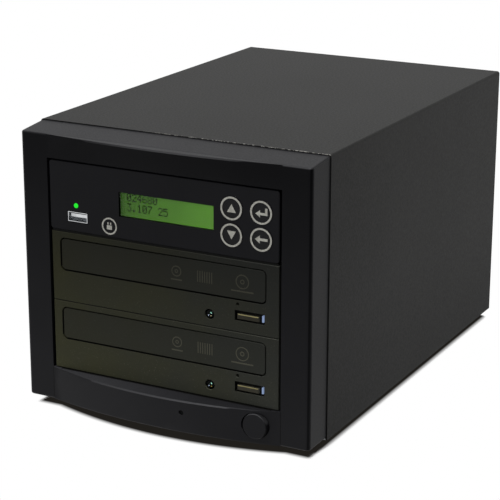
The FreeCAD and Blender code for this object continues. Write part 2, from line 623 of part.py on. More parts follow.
def loft(body, name, kind, *levels):
    """Loft between bows in plan; each level is a height and the bow's sizes there."""
    drawings = [sketch(body, f"{name}_{number}", "XY", height, [(bow, *sizes)])
                for number, (height, *sizes) in enumerate(levels, 1)]
    feature = body.newObject(f"PartDesign::{kind}Loft", f"{body.Name}_{name}_loft")
    feature.Profile = drawings[0]
    feature.Sections = drawings[1:]
    feature.Ruled = True
    doc.recompute()
    return feature


def edges(shape, wanted):
    """Names of the straight or curved edges whose midpoint and direction pass a test."""
    chosen = []
    for number, edge in enumerate(shape.Edges, 1):
        middle = edge.valueAt((edge.FirstParameter + edge.LastParameter) / 2)
        along = edge.tangentAt((edge.FirstParameter + edge.LastParameter) / 2)
        if wanted(middle, along, edge):
            chosen.append(f"Edge{number}")
    return chosen


def soften(body, name, size, wanted, kind="Fillet"):
    """Round or bevel the edges of the last feature that pass a test."""
    base = body.Tip
    feature = body.newObject(f"PartDesign::{kind}", f"{body.Name}_{name}")
    feature.Base = (base, edges(base.Shape, wanted))
    feature.setExpression("Radius" if kind == "Fillet" else "Size", bind(size))
    doc.recompute()
    return feature


def repeat(body, name, kind, features, axis, settings):
    """Repeat features along or round an axis of the piece."""
    feature = body.newObject(f"PartDesign::{kind}", f"{body.Name}_{name}")
    feature.Originals = features
    line = next(f for f in body.Origin.OriginFeatures if f.Role == f"{axis}_Axis")
    if kind == "PolarPattern":
        feature.Axis = (line, [""])
    else:
        feature.Direction = (line, [""])
    for key, text in settings.items():
        feature.setExpression(key, bind(text))
    body.Tip = feature
    doc.recompute()
    return feature


def near(value, text, slack=0.01):
    """Whether a coordinate is at a sum of named sizes."""
    return abs(value - worth(text)) < slack


# Case

def make_bezel():
    """Moulded frame with a bowed chin and a bowed top bar, hollow from behind."""
    body = piece("front_bezel", z="bezel_floor")
    half = "bezel_width / 2"
    add(body, "shell", "YZ", f"-{half}", "bezel_width",
        (outline, ("0", "0"), ("bezel_depth", "0"), ("bezel_depth", "bezel_height + brow_climb"),
         ("0", "bezel_height")))
    soften(body, "pillar_rounds", "bezel_corner",
           lambda p, d, e: abs(d.z) > 0.9 and near(p.y, "0"))
    level = worth("bezel_height - bezel_edge")
    soften(body, "outer_rounds", "bezel_edge",
           lambda p, d, e: (near(p.z, "0") or p.z > level) and not near(p.y, "bezel_depth"))
    inner = "bay_width / 2"
    back = "bezel_face_wall / 2"
    loft(body, "chin", "Additive",
         ("0", inner, "chin_bow_foot - bow_edge", back), ("bow_edge", inner, "chin_bow_foot", back),
         ("chin_height - bow_edge", inner, "chin_bow_top", back),
         ("chin_height", inner, "chin_bow_top - bow_edge", back))
    loft(body, "brow", "Additive",
         ("chin_height + bay_height", inner, "brow_bow_foot", back),
         ("bezel_height - bow_edge", inner, "brow_bow_top", back),
         ("bezel_height", inner, "brow_bow_top - bow_edge", back))
    cut(body, "hollow", "XZ", "bezel_face_wall", "bezel_depth",
        (rectangle, f"-{half} + bezel_wall", "bezel_wall",
         "(bezel_width - 2 * bezel_wall)", "(bezel_height - 2 * bezel_wall)"))
    deep = "bezel_face_wall + overrun"
    inset = "bay_width / 2 - bezel_wall"
    loft(body, "chin_hollow", "Subtractive",
         ("bezel_wall", inset, "chin_bow_foot - bezel_wall", deep),
         ("chin_height - bezel_wall", inset, "chin_bow_top - bezel_wall", deep))
    cut(body, "bays", "XZ", "-overrun", "bezel_face_wall + 2 * overrun",
        (rectangle, "-bay_width / 2", "chin_height", "bay_width", "bay_height"))
    cut(body, "chin_holes", "XZ", "-chin_bow_top - overrun", "chin_bow_top + bezel_face_wall + 2 * overrun",
        (circle, "power_x", "power_rise", "power_cap + 2 * power_hole_gap"),
        (circle, "lamp_x", "lamp_rise", "lamp_diameter"))
    clips = []
    for side in ("-", ""):
        for rise in ("clip_inset", "bezel_height - clip_inset"):
            clips.append((centred, f"{side}(bezel_width / 2 - bezel_wall - clip_thickness / 2)", rise,
                          "clip_thickness", "clip_width"))
    add(body, "clips", "XZ", "bezel_face_wall", "bezel_depth - bezel_face_wall + sheet + clip_reach", *clips)


def make_front_plate():
    """Steel plate behind the bezel, open at the bays."""
    body = piece("front_plate", y="bezel_depth")
    add(body, "plate", "XZ", "0", "sheet",
        (rectangle, "-(chassis_half)", "pan_top", "2 * chassis_half", "(chassis_top - pan_top)"))
    wide = "cover_fit + clip_gap + bay_width"
    slots = []
    for side in ("-", ""):
        for rise in ("clip_inset", "bezel_height - clip_inset"):
            slots.append((centred, f"{side}(bezel_width / 2 - bezel_wall - clip_thickness / 2)",
                          f"bezel_floor + {rise}", "clip_thickness + 2 * clip_gap",
                          "clip_width + 2 * clip_gap"))
    cut(body, "openings", "XZ", "-overrun", "sheet + 2 * overrun",
        (rectangle, f"-({wide}) / 2", "bay_floor", f"({wide})", "bay_height"),
        (circle, "power_x", "bezel_floor + power_rise", "power_stem + 2 * power_hole_gap"), *slots)


def make_base_pan():
    """Steel floor with a low flange along each side."""
    body = piece("base_pan", y="bezel_depth", z="foot_height")
    length = "(rear_line - bezel_depth)"
    add(body, "floor", "XY", "0", "sheet", (rectangle, "-(chassis_half)", "0", "2 * chassis_half", length))
    add(body, "flanges", "XY", "0", "pan_flange",
        (rectangle, "-(chassis_half)", "sheet", "sheet", f"({length} - sheet)"),
        (rectangle, "chassis_half - sheet", "sheet", "sheet", f"({length} - sheet)"))
    cut(body, "foot_holes", "XY", "-overrun", "sheet + 2 * overrun",
        *[(circle, x, y, "foot_bore") for x, y in foot_spots("bezel_depth")])


def foot_spots(origin):
    """Where the four feet stand, with the depth counted from an origin."""
    side = "bracket_line - foot_inset"
    return [(f"{sign}({side})", f"{line} - {origin}")
            for sign in ("-", "") for line in ("foot_end_inset", "case_depth - foot_end_inset")]


def make_feet():
    """Four rubber feet, each with a sunk screw hole."""
    feet = []
    for number, (x, y) in enumerate(foot_spots("0"), 1):
        body = piece(f"rubber_foot_{number}", x=x, y=y)
        add(body, "block", "XY", "0", "foot_height", (circle, "0", "0", "foot_diameter"))
        soften(body, "taper", "foot_taper", lambda p, d, e: near(p.z, "0"), "Chamfer")
        cut(body, "bore", "XY", "-overrun", "foot_height + 2 * overrun", (circle, "0", "0", "foot_bore"))
        cut(body, "sink", "XY", "-overrun", "foot_sink_depth + overrun", (circle, "0", "0", "foot_sink"))
        feet.append(body)
    group("rubber_feet", feet)


def make_rear_panel():
    """Steel back with openings for the power supply, the fan and the vents."""
    body = piece("rear_panel", y="rear_line")
    add(body, "plate", "XZ", "0", "sheet",
        (rectangle, "-(chassis_half)", "foot_height", "2 * chassis_half", "(chassis_top - foot_height)"))
    cut(body, "psu_window", "XZ", "-overrun", "sheet + 2 * overrun",
        (rectangle, "psu_x - psu_width / 2 + psu_window_side", "psu_floor + psu_window_margin",
         "(psu_width - 2 * psu_window_side)", "(psu_height - 2 * psu_window_margin)"),
        *[(circle, x, z, "screw_shaft + 2 * screw_gap") for x, z in psu_screw_spots()])
    cut(body, "fan_window", "XZ", "-overrun", "sheet + 2 * overrun",
        (circle, "case_fan_x", "case_fan_height", "case_fan_size - 2 * fan_rim"),
        *[(circle, x, z, "fan_screw_hole")
          for x, z in fan_spots("case_fan_x", "case_fan_height", "case_fan_pitch")])
    vent = cut(body, "vent", "XZ", "-overrun", "sheet + 2 * overrun",
               (rectangle, "vent_x", "foot_height + vent_rise", "vent_width", "vent_length"))
    repeat(body, "vents", "LinearPattern", [vent], "X",
           {"Length": "vent_pitch * (vent_count - 1)", "Occurrences": "vent_count"})
    cut(body, "screw_holes", "XZ", "-overrun", "sheet + 2 * overrun",
        *[(circle, x, z, "screw_shaft + 2 * screw_gap") for x, z in thumb_spots()])
    # A lip folded forward carries the power supply.
    add(body, "psu_lip", "XY", "psu_floor - sheet", "sheet",
        (rectangle, "psu_x - psu_width / 2", "-psu_shelf", "psu_width", "(psu_shelf + sheet / 2)"))


def fan_spots(x, z, pitch):
    """A fan's four screws round its centre."""
    return [(f"{x} {a} {pitch} / 2", f"{z} {b} {pitch} / 2") for a in "+-" for b in "+-"]


def psu_screw_spots():
    """The power supply's four screws through the rear panel."""
    side = "(psu_width - psu_window_side) / 2"
    return [(f"psu_x {sign} {side}", z)
            for sign in "-+"
            for z in ("psu_floor + psu_screw_rise", "psu_floor + psu_height - psu_screw_rise")]


def thumb_spots():
    """Where the cover's thumb screws go."""
    side = "case_width / 2 - cover_wall - flange_reach / 2"
    return [(f"{sign}({side})", f"foot_height + {rise}")
            for sign in ("-", "") for rise in ("thumb_low", "thumb_high")]


def make_cover():
    """Folded steel cover: two sides, a top, and flanges over the rear panel."""
    body = piece("top_cover", y="bezel_depth", z="foot_height")
    half = "case_width / 2"
    length = "case_depth - bezel_depth"

    def fold(wall):
        return (outline, (f"-{half}", "0"), (f"-{half} + {wall}", "0"),
                (f"-{half} + {wall}", f"cover_height - {wall}"),
                (f"{half} - {wall}", f"cover_height - {wall}"), (f"{half} - {wall}", "0"), (half, "0"),
                (half, "cover_height"), (f"-{half}", "cover_height"))

    add(body, "sheet", "XZ", "0", length, fold("cover_wall"))
    add(body, "rear_flange", "XZ", f"{length} - cover_wall", "cover_wall",
        fold("(cover_wall + flange_reach)"))
    # A tall window in the rear flange leaves the power supply's face clear.
    cut(body, "window", "XZ", f"{length} - cover_wall - overrun", "cover_wall + 2 * overrun",
        (rectangle, "psu_x - psu_width / 2", f"psu_floor - foot_height", "psu_width",
         "(cover_height - cover_wall - psu_floor + foot_height)"))
    soften(body, "bends", "cover_bend",
           lambda p, d, e: abs(d.y) > 0.9 and near(abs(p.x), half) and near(p.z, "cover_height"))
    cut(body, "screw_holes", "XZ", f"{length} - cover_wall - overrun", "cover_wall + 2 * overrun",
        *[(circle, x, f"{z} - foot_height", "screw_shaft + 2 * screw_gap") for x, z in thumb_spots()])


def make_brackets():
    """Folded steel brackets that carry the drives, one each side."""
    for label, sign in (("left_bay_bracket", "-"), ("right_bay_bracket", "")):
        body = piece(label, y="bezel_depth + sheet", z="pan_top")
        wall = f"{sign}(bracket_line + sheet / 2)"
        lip = f"{sign}(bracket_line + bracket_flange / 2)"
        add(body, "wall", "XY", "0", "bracket_rise",
            (centred, wall, "bracket_length / 2", "sheet", "bracket_length"))
        add(body, "foot", "XY", "0", "sheet",
            (centred, lip, "bracket_length / 2", "bracket_flange", "bracket_length"))
        add(body, "front", "XZ", "0", "sheet",
            (centred, lip, "bracket_rise / 2", "bracket_flange", "bracket_rise"))
        first = "casing_start + screw_line - bezel_depth - sheet"
        start = "-(bracket_line + bracket_flange + overrun)" if sign else "bracket_line - overrun"
        cut(body, "screw_holes", "YZ", start, "bracket_flange + 2 * overrun",
            *[(circle, y, f"{floor} - pan_top + screw_rise", "screw_shaft + 2 * screw_gap")
              for side, floor in DRIVES for y in (first, f"{first} + screw_pitch")])


def make_side_screws():
    """Screws through the brackets into the drives' casings."""
    screws = []
    for sign in (-1, 1):
        for side, floor in DRIVES:
            for step in ("0", "screw_pitch"):
                body = piece(f"side_screw_{len(screws) + 1}", x=f"{sign} * (bracket_line + sheet)",
                             y=f"casing_start + screw_line + {step}", z=f"{floor} + screw_rise")
                add(body, "head", "YZ", "0" if sign > 0 else "-screw_head_height", "screw_head_height",
                    (circle, "0", "0", "screw_head"))
                add(body, "shaft", "YZ", "-screw_length" if sign > 0 else "0", "screw_length",
                    (circle, "0", "0", "screw_shaft"))
                screws.append(body)
    group("drive_screws", screws)


def make_thumb_screws():
    """Thumb screws that hold the cover to the rear panel."""
    screws = []
    for x, z in thumb_spots():
        body = piece(f"thumb_screw_{len(screws) + 1}", x=x, y="case_depth", z=z)
        add(body, "head", "XZ", "0", "thumb_head_length", (circle, "0", "0", "thumb_head"))
        soften(body, "rounds", "thumb_slot / 2", lambda p, d, e: near(p.y, "thumb_head_length"))
        cut(body, "slot", "XZ", "thumb_head_length - thumb_slot", "thumb_slot + overrun",
            (centred, "0", "0", "thumb_head + 2 * overrun", "thumb_slot"))
        add(body, "shaft", "XZ", "-thumb_length", "thumb_length", (circle, "0", "0", "screw_shaft"))
        screws.append(body)
    return screws


def make_rear_screws():
    """Pan-head screws of the power supply and of both fans, with their heads outside."""
    spots = [(x, "rear_line + sheet", z) for x, z in psu_screw_spots()]
    spots += [(x, "rear_line + guard_wire", z)
              for x, z in fan_spots("psu_x + psu_fan_x", "psu_floor + psu_height / 2", "psu_fan_pitch")]
    spots += [(x, "rear_line + sheet + guard_wire", z)
              for x, z in fan_spots("case_fan_x", "case_fan_height", "case_fan_pitch")]
    screws = []
    for number, (x, y, z) in enumerate(spots, 1):
        body = piece(f"rear_screw_{number}", x=x, y=y, z=z)
        add(body, "head", "XZ", "0", "screw_head_height", (circle, "0", "0", "screw_head"))
        soften(body, "round", "screw_head_height / 3", lambda p, d, e: near(p.y, "screw_head_height"))
        add(body, "shaft", "XZ", "-case_screw_length", "case_screw_length", (circle, "0", "0", "screw_shaft"))
        screws.append(body)
    return screws


def make_foot_screws():
    """Screws up through the feet into the base pan."""
    screws = []
    for number, (x, y) in enumerate(foot_spots("0"), 1):
        body = piece(f"foot_screw_{number}", x=x, y=y, z="foot_sink_depth")
        add(body, "head", "XY", "-screw_head_height", "screw_head_height",
            (circle, "0", "0", "foot_screw_head"))
        add(body, "shaft", "XY", "0", "foot_height - foot_sink_depth + sheet + screw_head_height",
            (circle, "0", "0", "screw_shaft"))
        screws.append(body)
    return screws


# Controls on the chin

def make_power_button():
    """Round cap with a domed face, a keeper flange and a stem."""
    body = piece("power_button", x="power_x", z="bezel_floor + power_rise")
    add(body, "cap", "XZ", "-power_proud", "power_proud + power_flange_line + power_flange_wall",
        (circle, "0", "0", "power_cap"))
    soften(body, "dome", "power_dome", lambda p, d, e: near(p.y, "-power_proud"))
    add(body, "flange", "XZ", "power_flange_line", "power_flange_wall",
        (centred, "0", "0", "power_flange", "power_cap"))
    add(body, "stem", "XZ", "power_flange_line", "power_flange_wall + power_stem_reach",
        (circle, "0", "0", "power_stem"))


def make_power_switch():
    """Switch on the front plate that the button's stem enters."""
    body = piece("power_switch", x="power_x", y="bezel_depth - switch_depth", z="bezel_floor + power_rise")
    add(body, "housing", "XZ", "0", "switch_depth", (centred, "0", "0", "switch_width", "switch_width"))
    reach = "power_flange_line + power_flange_wall + power_stem_reach + power_travel + stem_end_gap"
    cut(body, "bore", "XZ", "-overrun", f"{reach} - bezel_depth + switch_depth + overrun",
        (circle, "0", "0", "power_stem + 2 * stem_clearance"))


def make_status_lamps():
    """The green indicator on the panel and the small lamp in the chin."""
    green = piece("panel_lamp", x="indicator_x", y="panel_setback - indicator_proud",
                  z="panel_floor + indicator_rise")
    add(green, "lens", "XZ", "0", "indicator_length", (circle, "0", "0", "indicator_diameter"))
    soften(green, "dome", "indicator_diameter / 4", lambda p, d, e: near(p.y, "0"))
    add(green, "collar", "XZ", "indicator_proud + panel_thickness", "indicator_length / 2 - indicator_proud",
        (circle, "0", "0", "indicator_diameter + 2 * lamp_gap + indicator_collar"))
    small = piece("chin_lamp", x="lamp_x", y="-lamp_sunk", z="bezel_floor + lamp_rise")
    add(small, "lens", "XZ", "0", "lamp_sunk + bezel_depth",
        (circle, "0", "0", "lamp_diameter - 2 * lamp_gap"))
    group("status_lamps", [green, small])


# Drives

def make_faceplate(side, floor):
    """Drive faceplate with its tray opening, lamp hole, release hole and eject recess."""
    body = piece(f"{side}_faceplate", y="faceplate_setback", z=floor)
    half = "faceplate_width / 2"
    add(body, "plate", "XZ", "0", "faceplate_thickness",
        (rectangle, f"-{half}", "0", "faceplate_width", "faceplate_height"))
    soften(body, "edges", "faceplate_edge", lambda p, d, e: near(p.y, "0"))
    rim = "casing_wall + spigot_gap"
    inner = f"{rim} + spigot_wall"
    add(body, "spigot", "XZ", "faceplate_thickness", "spigot_depth",
        (rectangle, f"-casing_width / 2 + {rim}", f"casing_floor + {rim}",
         f"(casing_width - 2 * ({rim}))", f"(casing_height - 2 * ({rim}))"),
        (rectangle, f"-casing_width / 2 + {inner}", f"casing_floor + {inner}",
         f"(casing_width - 2 * ({inner}))", f"(casing_height - 2 * ({inner}))"))
    cut(body, "tray_opening", "XZ", "-overrun", "faceplate_thickness + 2 * overrun",
        (centred, "door_x", "door_rise + door_height / 2", "door_width + 2 * door_gap",
         "door_height + 2 * door_gap"))
    middle = worth("door_x")
    soften(body, "opening_corners", "door_round + door_gap",
           lambda p, d, e: abs(d.y) > 0.9 and near(abs(p.x - middle), "door_width / 2 + door_gap"))
    cut(body, "round_holes", "XZ", "-overrun", "faceplate_thickness + 2 * overrun",
        (circle, "lens_x", "lens_rise", "lens_diameter + 2 * lamp_gap"),
        (circle, "pinhole_x", "pinhole_rise", "pinhole_diameter"))
    cut(body, "eject_recess", "XZ", "-overrun", "eject_recess_depth + overrun",
        (rectangle, "eject_left", "eject_rise", "eject_recess_width", "eject_recess_height"))
    cut(body, "eject_hole", "XZ", "-overrun", "faceplate_thickness + 2 * overrun",
        (rectangle, "eject_left + eject_inset - eject_gap", "eject_rise + eject_lift - eject_gap",
         "(eject_width + 2 * eject_gap)", "(eject_height + 2 * eject_gap)"))


def make_eject_button(side, floor):
    """Flat bar that slides in the faceplate, with a keeper flange behind."""
    body = piece(f"{side}_eject_button", x="eject_left + eject_inset", y="faceplate_setback",
                 z=f"{floor} + eject_rise + eject_lift")
    add(body, "bar", "XZ", "eject_sunk", "faceplate_thickness - eject_sunk + eject_flange",
        (rectangle, "0", "0", "eject_width", "eject_height"))
    soften(body, "edges", "eject_edge", lambda p, d, e: near(p.y, "eject_sunk"))
    add(body, "flange", "XZ", "faceplate_thickness + key_flange_drop", "eject_flange",
        (rectangle, "-eject_gap - eject_keeper", "0",
         "(eject_width + 2 * eject_gap + 2 * eject_keeper)", "eject_height"))


def make_drive_lenses(side, floor):
    """The round lamp lens and the lit window beside the eject button."""
    lens = piece(f"{side}_lamp_lens", x="lens_x", y="faceplate_setback + lens_sunk", z=f"{floor} + lens_rise")
    add(lens, "rod", "XZ", "0", "faceplate_thickness - lens_sunk + lens_tail",
        (circle, "0", "0", "lens_diameter"))
    soften(lens, "dome", "lens_diameter / 4", lambda p, d, e: near(p.y, "0"))
    window = piece(f"{side}_lit_window",
                   x="eject_left + eject_recess_width - window_end_gap - window_width",
                   y="faceplate_setback + window_sunk",
                   z=f"{floor} + eject_rise + (eject_recess_height - window_height) / 2")
    add(window, "block", "XZ", "0", "eject_recess_depth - window_sunk",
        (rectangle, "0", "0", "window_width", "window_height"))
    group(f"{side}_drive_lenses", [lens, window])


def make_casing(side, floor):
    """Steel drive body, open at the front, with a slot for the rear connector."""
    body = piece(f"{side}_drive_casing", y="casing_start", z=f"{floor} + casing_floor")
    half = "casing_width / 2"
    add(body, "block", "XZ", "0", "casing_length",
        (rectangle, f"-{half}", "0", "casing_width", "casing_height"))
    soften(body, "bends", "casing_bend", lambda p, d, e: abs(d.y) > 0.9)
    cut(body, "hollow", "XZ", "-overrun", "casing_length - casing_wall + overrun",
        (rectangle, f"-{half} + casing_wall", "casing_wall",
         "(casing_width - 2 * casing_wall)", "(casing_height - 2 * casing_wall)"))
    cut(body, "connector_slot", "XZ", "casing_length - casing_wall - overrun", "casing_wall + 2 * overrun",
        (rectangle, "-plug_width / 2 - plug_gap", "drive_board_rise - casing_floor - plug_gap",
         "(plug_width + 2 * plug_gap)", "(plug_height + 2 * plug_gap)"))
    cut(body, "screw_holes", "YZ", f"-{half} - overrun", "casing_width + 2 * overrun",
        *[(circle, y, "screw_rise - casing_floor", "screw_shaft + 2 * screw_gap")
          for y in ("screw_line", "screw_line + screw_pitch")])


def make_tray(side, floor):
    """Disc tray with two seats, a slot open to the rear and a rack below."""
    body = piece(f"{side}_tray", y="tray_line", z=f"{floor} + tray_rise")
    half = "tray_width / 2"
    centre = "recess_rim + recess_diameter / 2"
    add(body, "plate", "XY", "0", "tray_height", (rectangle, f"-{half}", "0", "tray_width", "tray_length"))
    soften(body, "rear_rounds", "tray_corner", lambda p, d, e: abs(d.z) > 0.9 and near(p.y, "tray_length"))
    cut(body, "seat", "XY", "tray_height - recess_depth", "recess_depth + overrun",
        (circle, "0", centre, "recess_diameter"))
    cut(body, "small_seat", "XY", "tray_height - recess_depth - small_recess_depth",
        "small_recess_depth + overrun",
        (circle, "0", centre, "small_recess_diameter"))
    cut(body, "relief", "XY", "-overrun", "tray_hollow + overrun",
        (rectangle, f"-{half} + tray_rail + rack_back + tooth_pitch * 2", "tray_rail",
         "(tray_width - 2 * (tray_rail + rack_back + tooth_pitch * 2))", "(tray_length - 2 * tray_rail)"))
    cut(body, "slot_end", "XY", "-overrun", "tray_height + 2 * overrun", (circle, "0", centre, "slot_width"))
    cut(body, "slot", "XY", "-overrun", "tray_height + 2 * overrun",
        (rectangle, "-slot_width / 2", centre, "slot_width", "(tray_length)"))
    rack_x = "-rack_line - tooth_depth / 2 - rack_back"
    bar = "(tray_length - 2 * rack_margin)"
    add(body, "rack", "XY", "-rack_height", "rack_height",
        (rectangle, rack_x, "rack_margin", "rack_back", bar))
    middle = "pinion_line + casing_start - tray_line"
    root = "-rack_line - tooth_depth / 2"
    tip = "-rack_line + tooth_depth / 2"
    # The first tooth starts a whole number of pitches in front of the pinion's axis.
    first = f"{middle} - tooth_pitch"
    tooth = add(body, "tooth", "XY", "-rack_height", "rack_height",
                (outline, (f"{root} - rack_back / 2", f"{first} - tooth_root_width / 2"),
                 (root, f"{first} - tooth_root_width / 2"), (tip, f"{first} - tooth_tip_width / 2"),
                 (tip, f"{first} + tooth_tip_width / 2"), (root, f"{first} + tooth_root_width / 2"),
                 (f"{root} - rack_back / 2", f"{first} + tooth_root_width / 2")))
    count = f"floor((tray_length - rack_margin - ({middle})) / tooth_pitch)"
    repeat(body, "teeth", "LinearPattern", [tooth], "Y",
           {"Length": f"tooth_pitch * ({count} - 1)", "Occurrences": count})


def make_tray_door(side, floor):
    """Clip-on front of the tray."""
    body = piece(f"{side}_tray_door", x="door_x", y="door_line", z=f"{floor} + door_rise")
    add(body, "plate", "XZ", "0", "door_thickness",
        (rectangle, "-door_width / 2", "0", "door_width", "door_height"))
    soften(body, "corners", "door_round", lambda p, d, e: abs(d.y) > 0.9)
    soften(body, "edge", "door_edge", lambda p, d, e: near(p.y, "0"))


def make_pinion(side, floor):
    """Loading pinion in mesh with the tray's rack."""
    body = piece(f"{side}_loading_pinion", x="-rack_line + pinion_radius", y="casing_start + pinion_line",
                 z=f"{floor} + deck_top")
    top = "tray_rise - deck_top - tooth_tip_width"
    low = f"{top} - rack_height + tooth_tip_width"
    root = "pinion_radius - tooth_depth / 2"
    tip = "pinion_radius + tooth_depth / 2"
    add(body, "disc", "XY", low, f"{top} - ({low})", (circle, "0", "0", f"2 * ({root})"))
    # The tooth gap faces the rack at rest, so the first tooth is half a pitch round.
    tooth = add(body, "tooth", "XY", low, f"{top} - ({low})",
                (outline, (f"{root} - tooth_depth", "tooth_root_width / 2"), (root, "tooth_root_width / 2"),
                 (tip, "tooth_tip_width / 2"), (tip, "-tooth_tip_width / 2"), (root, "-tooth_root_width / 2"),
                 (f"{root} - tooth_depth", "-tooth_root_width / 2")))
    repeat(body, "teeth", "PolarPattern", [tooth], "Z", {"Occurrences": "pinion_teeth"})
    body.setExpression("Placement.Rotation.Angle", bind("180 / pinion_teeth"))
    add(body, "hub", "XY", "0", f"{top}", (circle, "0", "0", "pinion_hub"))
    cut(body, "bore", "XY", "-overrun", f"{top} + 2 * overrun",
        (circle, "0", "0", "pinion_bore + 2 * stem_clearance"))


def make_deck(side, floor):
    """Mechanism deck on four posts, with rod blocks, rods, stator and sled motor."""
    deck = piece(f"{side}_deck_plate", y="deck_line", z=floor)
    half = "deck_width / 2"
    centre = "disc_line - deck_line"
    add(deck, "plate", "XY", "deck_rise", "deck_thickness",
        (rectangle, f"-{half}", "0", "deck_width", "deck_length"))
    cut(deck, "window", "XY", "deck_rise - overrun", "deck_thickness + 2 * overrun",
        (rectangle, "-deck_window / 2", f"{centre} + rod_start + rod_block", "deck_window",
         "(rod_span - 2 * rod_block)"))
    add(deck, "posts", "XY", "casing_floor + casing_wall", "deck_rise - casing_floor - casing_wall",
        *[(circle, f"{sign}({half} - post_inset)", y, "deck_post")
          for sign in ("-", "") for y in ("post_inset", "deck_length - post_inset")])
    add(deck, "stator", "XY", "deck_rise", "table_rise - rotor_height - stator_gap - deck_rise",
        (circle, "0", centre, "stator_diameter"))
    add(deck, "spindle", "XY", "deck_rise", "table_rise - spindle_pin_end - deck_rise",
        (circle, "0", centre, "spindle_pin"))
    add(deck, "pinion_pin", "XY", "deck_rise", "tray_rise - tooth_tip_width - deck_rise",
        (circle, "-rack_line + pinion_radius", "casing_start + pinion_line - deck_line", "pinion_bore"))
    lines = (f"{centre} + rod_start", f"{centre} + rod_start + rod_span - rod_block")
    high = "rod_rise + rod_diameter - deck_rise"
    add(deck, "rod_blocks", "XY", "deck_rise", high,
        *[(rectangle, f"{x} - rod_block / 2", line, "rod_block", "rod_block")
          for x in ("-rod_spread", "rod_spread") for line in lines])
    add(deck, "screw_blocks", "XY", "deck_rise", high,
        *[(rectangle, "screw_x - lead_diameter", line, "(2 * lead_diameter)", "rod_block / 2")
          for line in lines])
    rod_hole = "rod_diameter"
    cut(deck, "rod_bores", "XZ", f"{centre} + rod_start + overrun", "rod_span - 2 * overrun",
        *[(circle, x, "rod_rise", rod_hole) for x in ("-rod_spread", "rod_spread")])
    cut(deck, "screw_bores", "XZ", f"{centre} + rod_start - overrun", "rod_span + 2 * overrun",
        (circle, "screw_x", "rod_rise", "lead_end + 2 * stem_clearance"))
    rods = []
    for number, x in enumerate(("-rod_spread", "rod_spread"), 1):
        rod = piece(f"{side}_guide_rod_{number}", x=x, y="disc_line + rod_start", z=f"{floor} + rod_rise")
        add(rod, "rod", "XZ", "overrun", "rod_span - 2 * overrun", (circle, "0", "0", "rod_diameter"))
        rods.append(rod)
    motor = piece(f"{side}_sled_motor", x="screw_x", y="disc_line + rod_start + rod_span - rod_block / 2",
                  z=f"{floor} + rod_rise")
    add(motor, "can", "XZ", "0", "motor_length", (circle, "0", "0", "motor_diameter"))
    group(f"{side}_mechanism_deck", [deck, *rods, motor])


def make_turntable(side, floor):
    """Spindle rotor, turntable and centring cone on the spindle's pin."""
    body = piece(f"{side}_turntable", y="disc_line", z=f"{floor} + table_rise")
    add(body, "rotor", "XY", "-rotor_height", "rotor_height", (circle, "0", "0", "rotor_diameter"))
    add(body, "table", "XY", "0", "table_height", (circle, "0", "0", "table_diameter"))
    add(body, "cone", "XY", "table_height", "cone_height", (circle, "0", "0", "cone_diameter"))
    soften(body, "cone_bevel", "(cone_diameter - cone_tip) / 2",
           lambda p, d, e: near(p.z, "table_height + cone_height"), "Chamfer")
    cut(body, "bore", "XY", "-rotor_height - overrun", "rotor_height - spindle_pin_end + 2 * overrun",
        (circle, "0", "0", "spindle_pin + 2 * stem_clearance"))


def make_sled(side, floor):
    """Pickup sled that runs on the two rods, with its lens on top."""
    body = piece(f"{side}_pickup_sled", y="disc_line + sled_start", z=f"{floor} + rod_rise")
    add(body, "block", "XZ", "0", "sled_length",
        (centred, "0", "0", "sled_width", "sled_height"))
    add(body, "lens", "XY", "0", "sled_height / 2 + pickup_lens_height",
        (circle, "0", "sled_length / 2", "pickup_lens"))
    soften(body, "lens_dome", "pickup_lens_height / 2",
           lambda p, d, e: near(p.z, "sled_height / 2 + pickup_lens_height"))
    cut(body, "rod_bores", "XZ", "-overrun", "sled_length + 2 * overrun",
        *[(circle, x, "0", "rod_diameter + 2 * stem_clearance") for x in ("-rod_spread", "rod_spread")])


def make_lead_screw(side, floor):
    """Grooved screw beside the sled, turning in the deck's blocks."""
    body = piece(f"{side}_lead_screw", x="screw_x", y="disc_line + rod_start", z=f"{floor} + rod_rise")
    full = "rod_span - 1.5 * rod_block"
    add(body, "journals", "XZ", "stem_clearance", "rod_span - rod_block / 2 - 2 * stem_clearance",
        (circle, "0", "0", "lead_end"))
    add(body, "shank", "XZ", "rod_block / 2 + stem_clearance", f"{full} - 2 * stem_clearance",
        (circle, "0", "0", "lead_diameter"))
    groove = cut(body, "groove", "XZ", "rod_block / 2 + lead_pitch", "lead_pitch / 3",
                 (circle, "0", "0", "lead_diameter + overrun"),
                 (circle, "0", "0", "lead_diameter - 2 * lead_groove"))
    count = f"floor(({full}) / lead_pitch) - 1"
    repeat(body, "grooves", "LinearPattern", [groove], "Y",
           {"Length": f"lead_pitch * ({count} - 1)", "Occurrences": count})


def make_drive_board(side, floor):
    """Drive's circuit board with its rear connector and two chips."""
    board = piece(f"{side}_board_sheet", y="drive_back - casing_wall - plug_gap - drive_board_length",
                  z=f"{floor} + drive_board_rise - board_thickness")
    add(board, "sheet", "XY", "0", "board_thickness",
        (rectangle, "-drive_board_width / 2", "0", "drive_board_width", "drive_board_length"))
    plug = piece(f"{side}_rear_connector", y="drive_back - plug_depth", z=f"{floor} + drive_board_rise")
    add(plug, "block", "XZ", "0", "plug_depth",
        (rectangle, "-plug_width / 2", "0", "plug_width", "plug_height"))
    studs = []
    for number, x in enumerate(("-1", "1"), 1):
        stud = piece(f"{side}_board_stud_{number}", x=f"{x} * (drive_board_width / 2 - deck_post / 2)",
                     y="drive_back - casing_wall - plug_gap - deck_post",
                     z=f"{floor} + casing_floor + casing_wall")
        add(stud, "post", "XY", "0", "drive_board_rise - board_thickness - casing_floor - casing_wall",
            (circle, "0", "0", "deck_post / 2"))
        studs.append(stud)
    group(f"{side}_drive_board", [board, plug, *studs])


